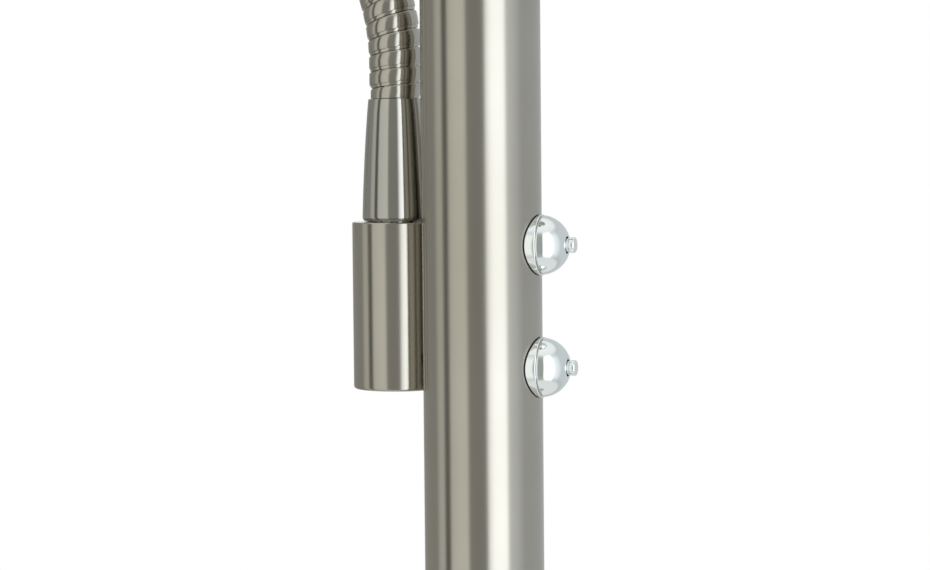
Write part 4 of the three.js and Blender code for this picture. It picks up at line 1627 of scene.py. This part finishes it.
@dataclass
class Studio:
    """Pale floor, soft light, the room that the metal mirrors, and the camera.

    The mirrored room is bands of light and dark round the camera's direction. Each band's stop
    has its azimuth in degrees, to the right of the camera's own direction, its brightness and
    its tint. Above and below, levels cover them: each level has its height, from -1 straight
    down to 1 straight up, its brightness, and how much of the bands it hides.
    """

    azimuth: float = 18.0
    distance: float = 692.0
    camera_height: float = 46.0
    pitch: float = 3.29
    roll: float = -0.52
    aside: float = 4.6
    lens: float = 100.6
    floor_radius: float = 6000.0
    room_light: float = 0.95
    backdrop: str = "#FFFFFF"
    warm: Tint = (1.05, 1.06, 0.995)
    pale: Tint = (0.99, 1.04, 1.08)
    cool: Tint = (0.99, 1.05, 1.08)
    levels: tuple[tuple[float, float, float], ...] = (
        (-1.0, 0.74, 1.0), (-0.76, 0.72, 1.0), (-0.67, 0.46, 0.6), (-0.48, 0.5, 0.0),
        (0.52, 0.5, 0.0), (0.68, 0.52, 0.5), (0.8, 0.82, 1.0), (1.0, 0.9, 1.0))
    level_green: float = 1.02
    headroom: float = 1.05
    lamp_distance: float = 2200.0
    lamp_aim: float = 900.0

    def to_camera(self) -> Vector:
        """The level direction from the column to the camera."""
        turn = math.radians(self.azimuth)
        return Vector((math.sin(turn), -math.cos(turn), 0))

    def to_right(self) -> Vector:
        """The level direction to the camera's right."""
        turn = math.radians(self.azimuth)
        return Vector((math.cos(turn), math.sin(turn), 0))

    def camera(self) -> None:
        """The camera, which looks at the cup and the switches."""
        cup = middle("arm_holder_cup").z
        data = bpy.data.cameras.new("camera")
        data.lens = self.lens
        data.clip_start = 0.05
        camera = bpy.data.objects.new("camera", data)
        bpy.context.scene.collection.objects.link(camera)
        stand = self.to_camera() * self.distance - self.to_right() * self.aside
        stand.z = cup + self.camera_height
        down = math.radians(self.pitch)
        ahead = -self.to_camera() * math.cos(down) - Vector((0, 0, math.sin(down)))
        turn = ahead.to_track_quat("-Z", "Y").to_matrix().to_4x4()
        camera.matrix_world = Matrix.Translation(stand * MM) @ turn @ Matrix.Rotation(
            math.radians(self.roll), 4, "Z")
        bpy.context.scene.camera = camera

    def floor(self) -> None:
        """A round pale floor with a faint mottle."""
        deselect()
        bpy.ops.mesh.primitive_circle_add(
            vertices=128, radius=self.floor_radius * MM, fill_type="NGON")
        floor = bpy.context.object
        floor.name = "floor"
        dress(floor, FLOOR_PAINT)
        # The metal mirrors the room's own lower level, so that the floor draws no edge in it.
        floor.visible_glossy = False

    def bands(self) -> list[tuple[float, float, Tint]]:
        """The mirrored room's bands, once round.

        Returns:
            Each stop's azimuth in degrees, its brightness and its tint.
        """
        warm, pale, cool = self.warm, self.pale, self.cool
        return [
            (-180, 0.95, warm), (-171, 0.95, warm), (-166, 0.34, warm), (-122, 0.35, warm),
            (-103, 0.35, warm), (-94, 0.62, warm), (-83, 0.66, warm), (-78, 0.14, warm),
            (-70, 0.14, warm), (-65, 0.76, warm), (-50, 0.82, warm), (-32, 0.86, warm),
            (-27, 0.33, warm), (4, 0.31, warm), (11, 1.6, pale), (20, 2.05, pale),
            (30, 2.1, pale), (44, 2.1, pale), (50, 0.95, cool), (68, 0.78, cool),
            (84, 0.57, cool), (180, 0.57, cool)]

    def room(self) -> None:
        """The world: plain white to the camera, and a room of light and dark bands to metal."""
        world = bpy.data.worlds.new("studio")
        bpy.context.scene.world = world
        world.use_nodes = True
        tree = world.node_tree
        tree.nodes.clear()
        seen = add_node(tree, "ShaderNodeLightPath")
        ray = add_node(tree, "ShaderNodeTexCoord").outputs["Generated"]
        across = add_node(tree, "ShaderNodeVectorMath", {"operation": "DOT_PRODUCT"}, {
            0: ray, 1: self.to_right()})
        back = add_node(tree, "ShaderNodeVectorMath", {"operation": "DOT_PRODUCT"}, {
            0: ray, 1: self.to_camera()})
        turn = add_node(tree, "ShaderNodeMath", {"operation": "ARCTAN2"}, {
            0: across.outputs["Value"], 1: back.outputs["Value"]})
        share = add_node(tree, "ShaderNodeMapRange", {}, {
            "Value": turn.outputs[0], "From Min": -math.pi, "From Max": math.pi})
        round_wall = add_node(tree, "ShaderNodeValToRGB", {}, {"Fac": share.outputs[0]})
        bands = self.bands()
        peak = max(light for _, light, _ in bands) * self.headroom
        set_stops(round_wall, [
            (angle / 360 + 0.5, (*[light / peak * part for part in tint], 1))
            for angle, light, tint in bands])
        height = add_node(tree, "ShaderNodeSeparateXYZ", {}, {"Vector": ray})
        rise = add_node(tree, "ShaderNodeMapRange", {}, {
            "Value": height.outputs["Z"], "From Min": -1.0, "From Max": 1.0})
        up_wall = add_node(tree, "ShaderNodeValToRGB", {}, {"Fac": rise.outputs[0]})
        set_stops(up_wall, [
            (level / 2 + 0.5,
             (light / peak, light * self.level_green / peak, light / peak, cover))
            for level, light, cover in self.levels])
        walls = add_node(tree, "ShaderNodeMix", {"data_type": "RGBA"}, {
            "Factor": up_wall.outputs["Alpha"], "A": round_wall.outputs["Color"],
            "B": up_wall.outputs["Color"]})
        mirrored = add_node(tree, "ShaderNodeBackground", {}, {
            "Color": walls.outputs["Result"], "Strength": peak})
        plain = add_node(tree, "ShaderNodeBackground", {}, {
            "Color": linear(self.backdrop), "Strength": 1.0})
        soft = add_node(tree, "ShaderNodeBackground", {}, {
            "Color": linear(self.backdrop), "Strength": self.room_light})
        lit = add_node(tree, "ShaderNodeMixShader", {}, {
            "Fac": seen.outputs["Is Glossy Ray"], 1: soft.outputs[0], 2: mirrored.outputs[0]})
        whole = add_node(tree, "ShaderNodeMixShader", {}, {
            "Fac": seen.outputs["Is Camera Ray"], 1: lit.outputs[0], 2: plain.outputs[0]})
        add_node(tree, "ShaderNodeOutputWorld", {}, {"Surface": whole.outputs[0]})

    def lamp(self, name: str, turn: float, height: float, size: float, power: float) -> None:
        """A soft square light that faces the column and isn't mirrored in the metal.

        Args:
            name: its name.
            turn: its azimuth in degrees, to the right of the camera's direction.
            height: its height in millimetres.
            size: its side in millimetres.
            power: its power in watts.
        """
        data = bpy.data.lights.new(name, "AREA")
        data.shape = "SQUARE"
        data.size = size * MM
        data.energy = power
        light = bpy.data.objects.new(name, data)
        bpy.context.scene.collection.objects.link(light)
        angle = math.radians(turn)
        way = self.to_camera() * math.cos(angle) + self.to_right() * math.sin(angle)
        stand = way * self.lamp_distance + Vector((0, 0, height))
        aim = Vector((0, 0, self.lamp_aim)) - stand
        light.matrix_world = Matrix.Translation(stand * MM) @ aim.to_track_quat(
            "-Z", "Y").to_matrix().to_4x4()
        light.visible_glossy = False

    def build(self) -> None:
        """Builds the studio."""
        self.camera()
        self.floor()
        self.room()
        self.lamp("window_light", turn=26, height=2400, size=1500, power=34)
        self.lamp("fill_light", turn=-60, height=1900, size=1800, power=14)
        bpy.context.scene.view_settings.view_transform = "Standard"


# ---- the lamp -----------------------------------------------------------------------------


def main() -> None:
    """Builds the lamp and its studio."""
    logging.basicConfig(level=logging.INFO)
    route = ArmRoute()
    parts = [
        Foot(), Column(), PushSwitches(), ArmHolder(), Gooseneck(route), ReadingSpot(route),
        Uplighter(), Studio()]
    for part in parts:
        part.build()


if __name__ == "__main__":
    main()
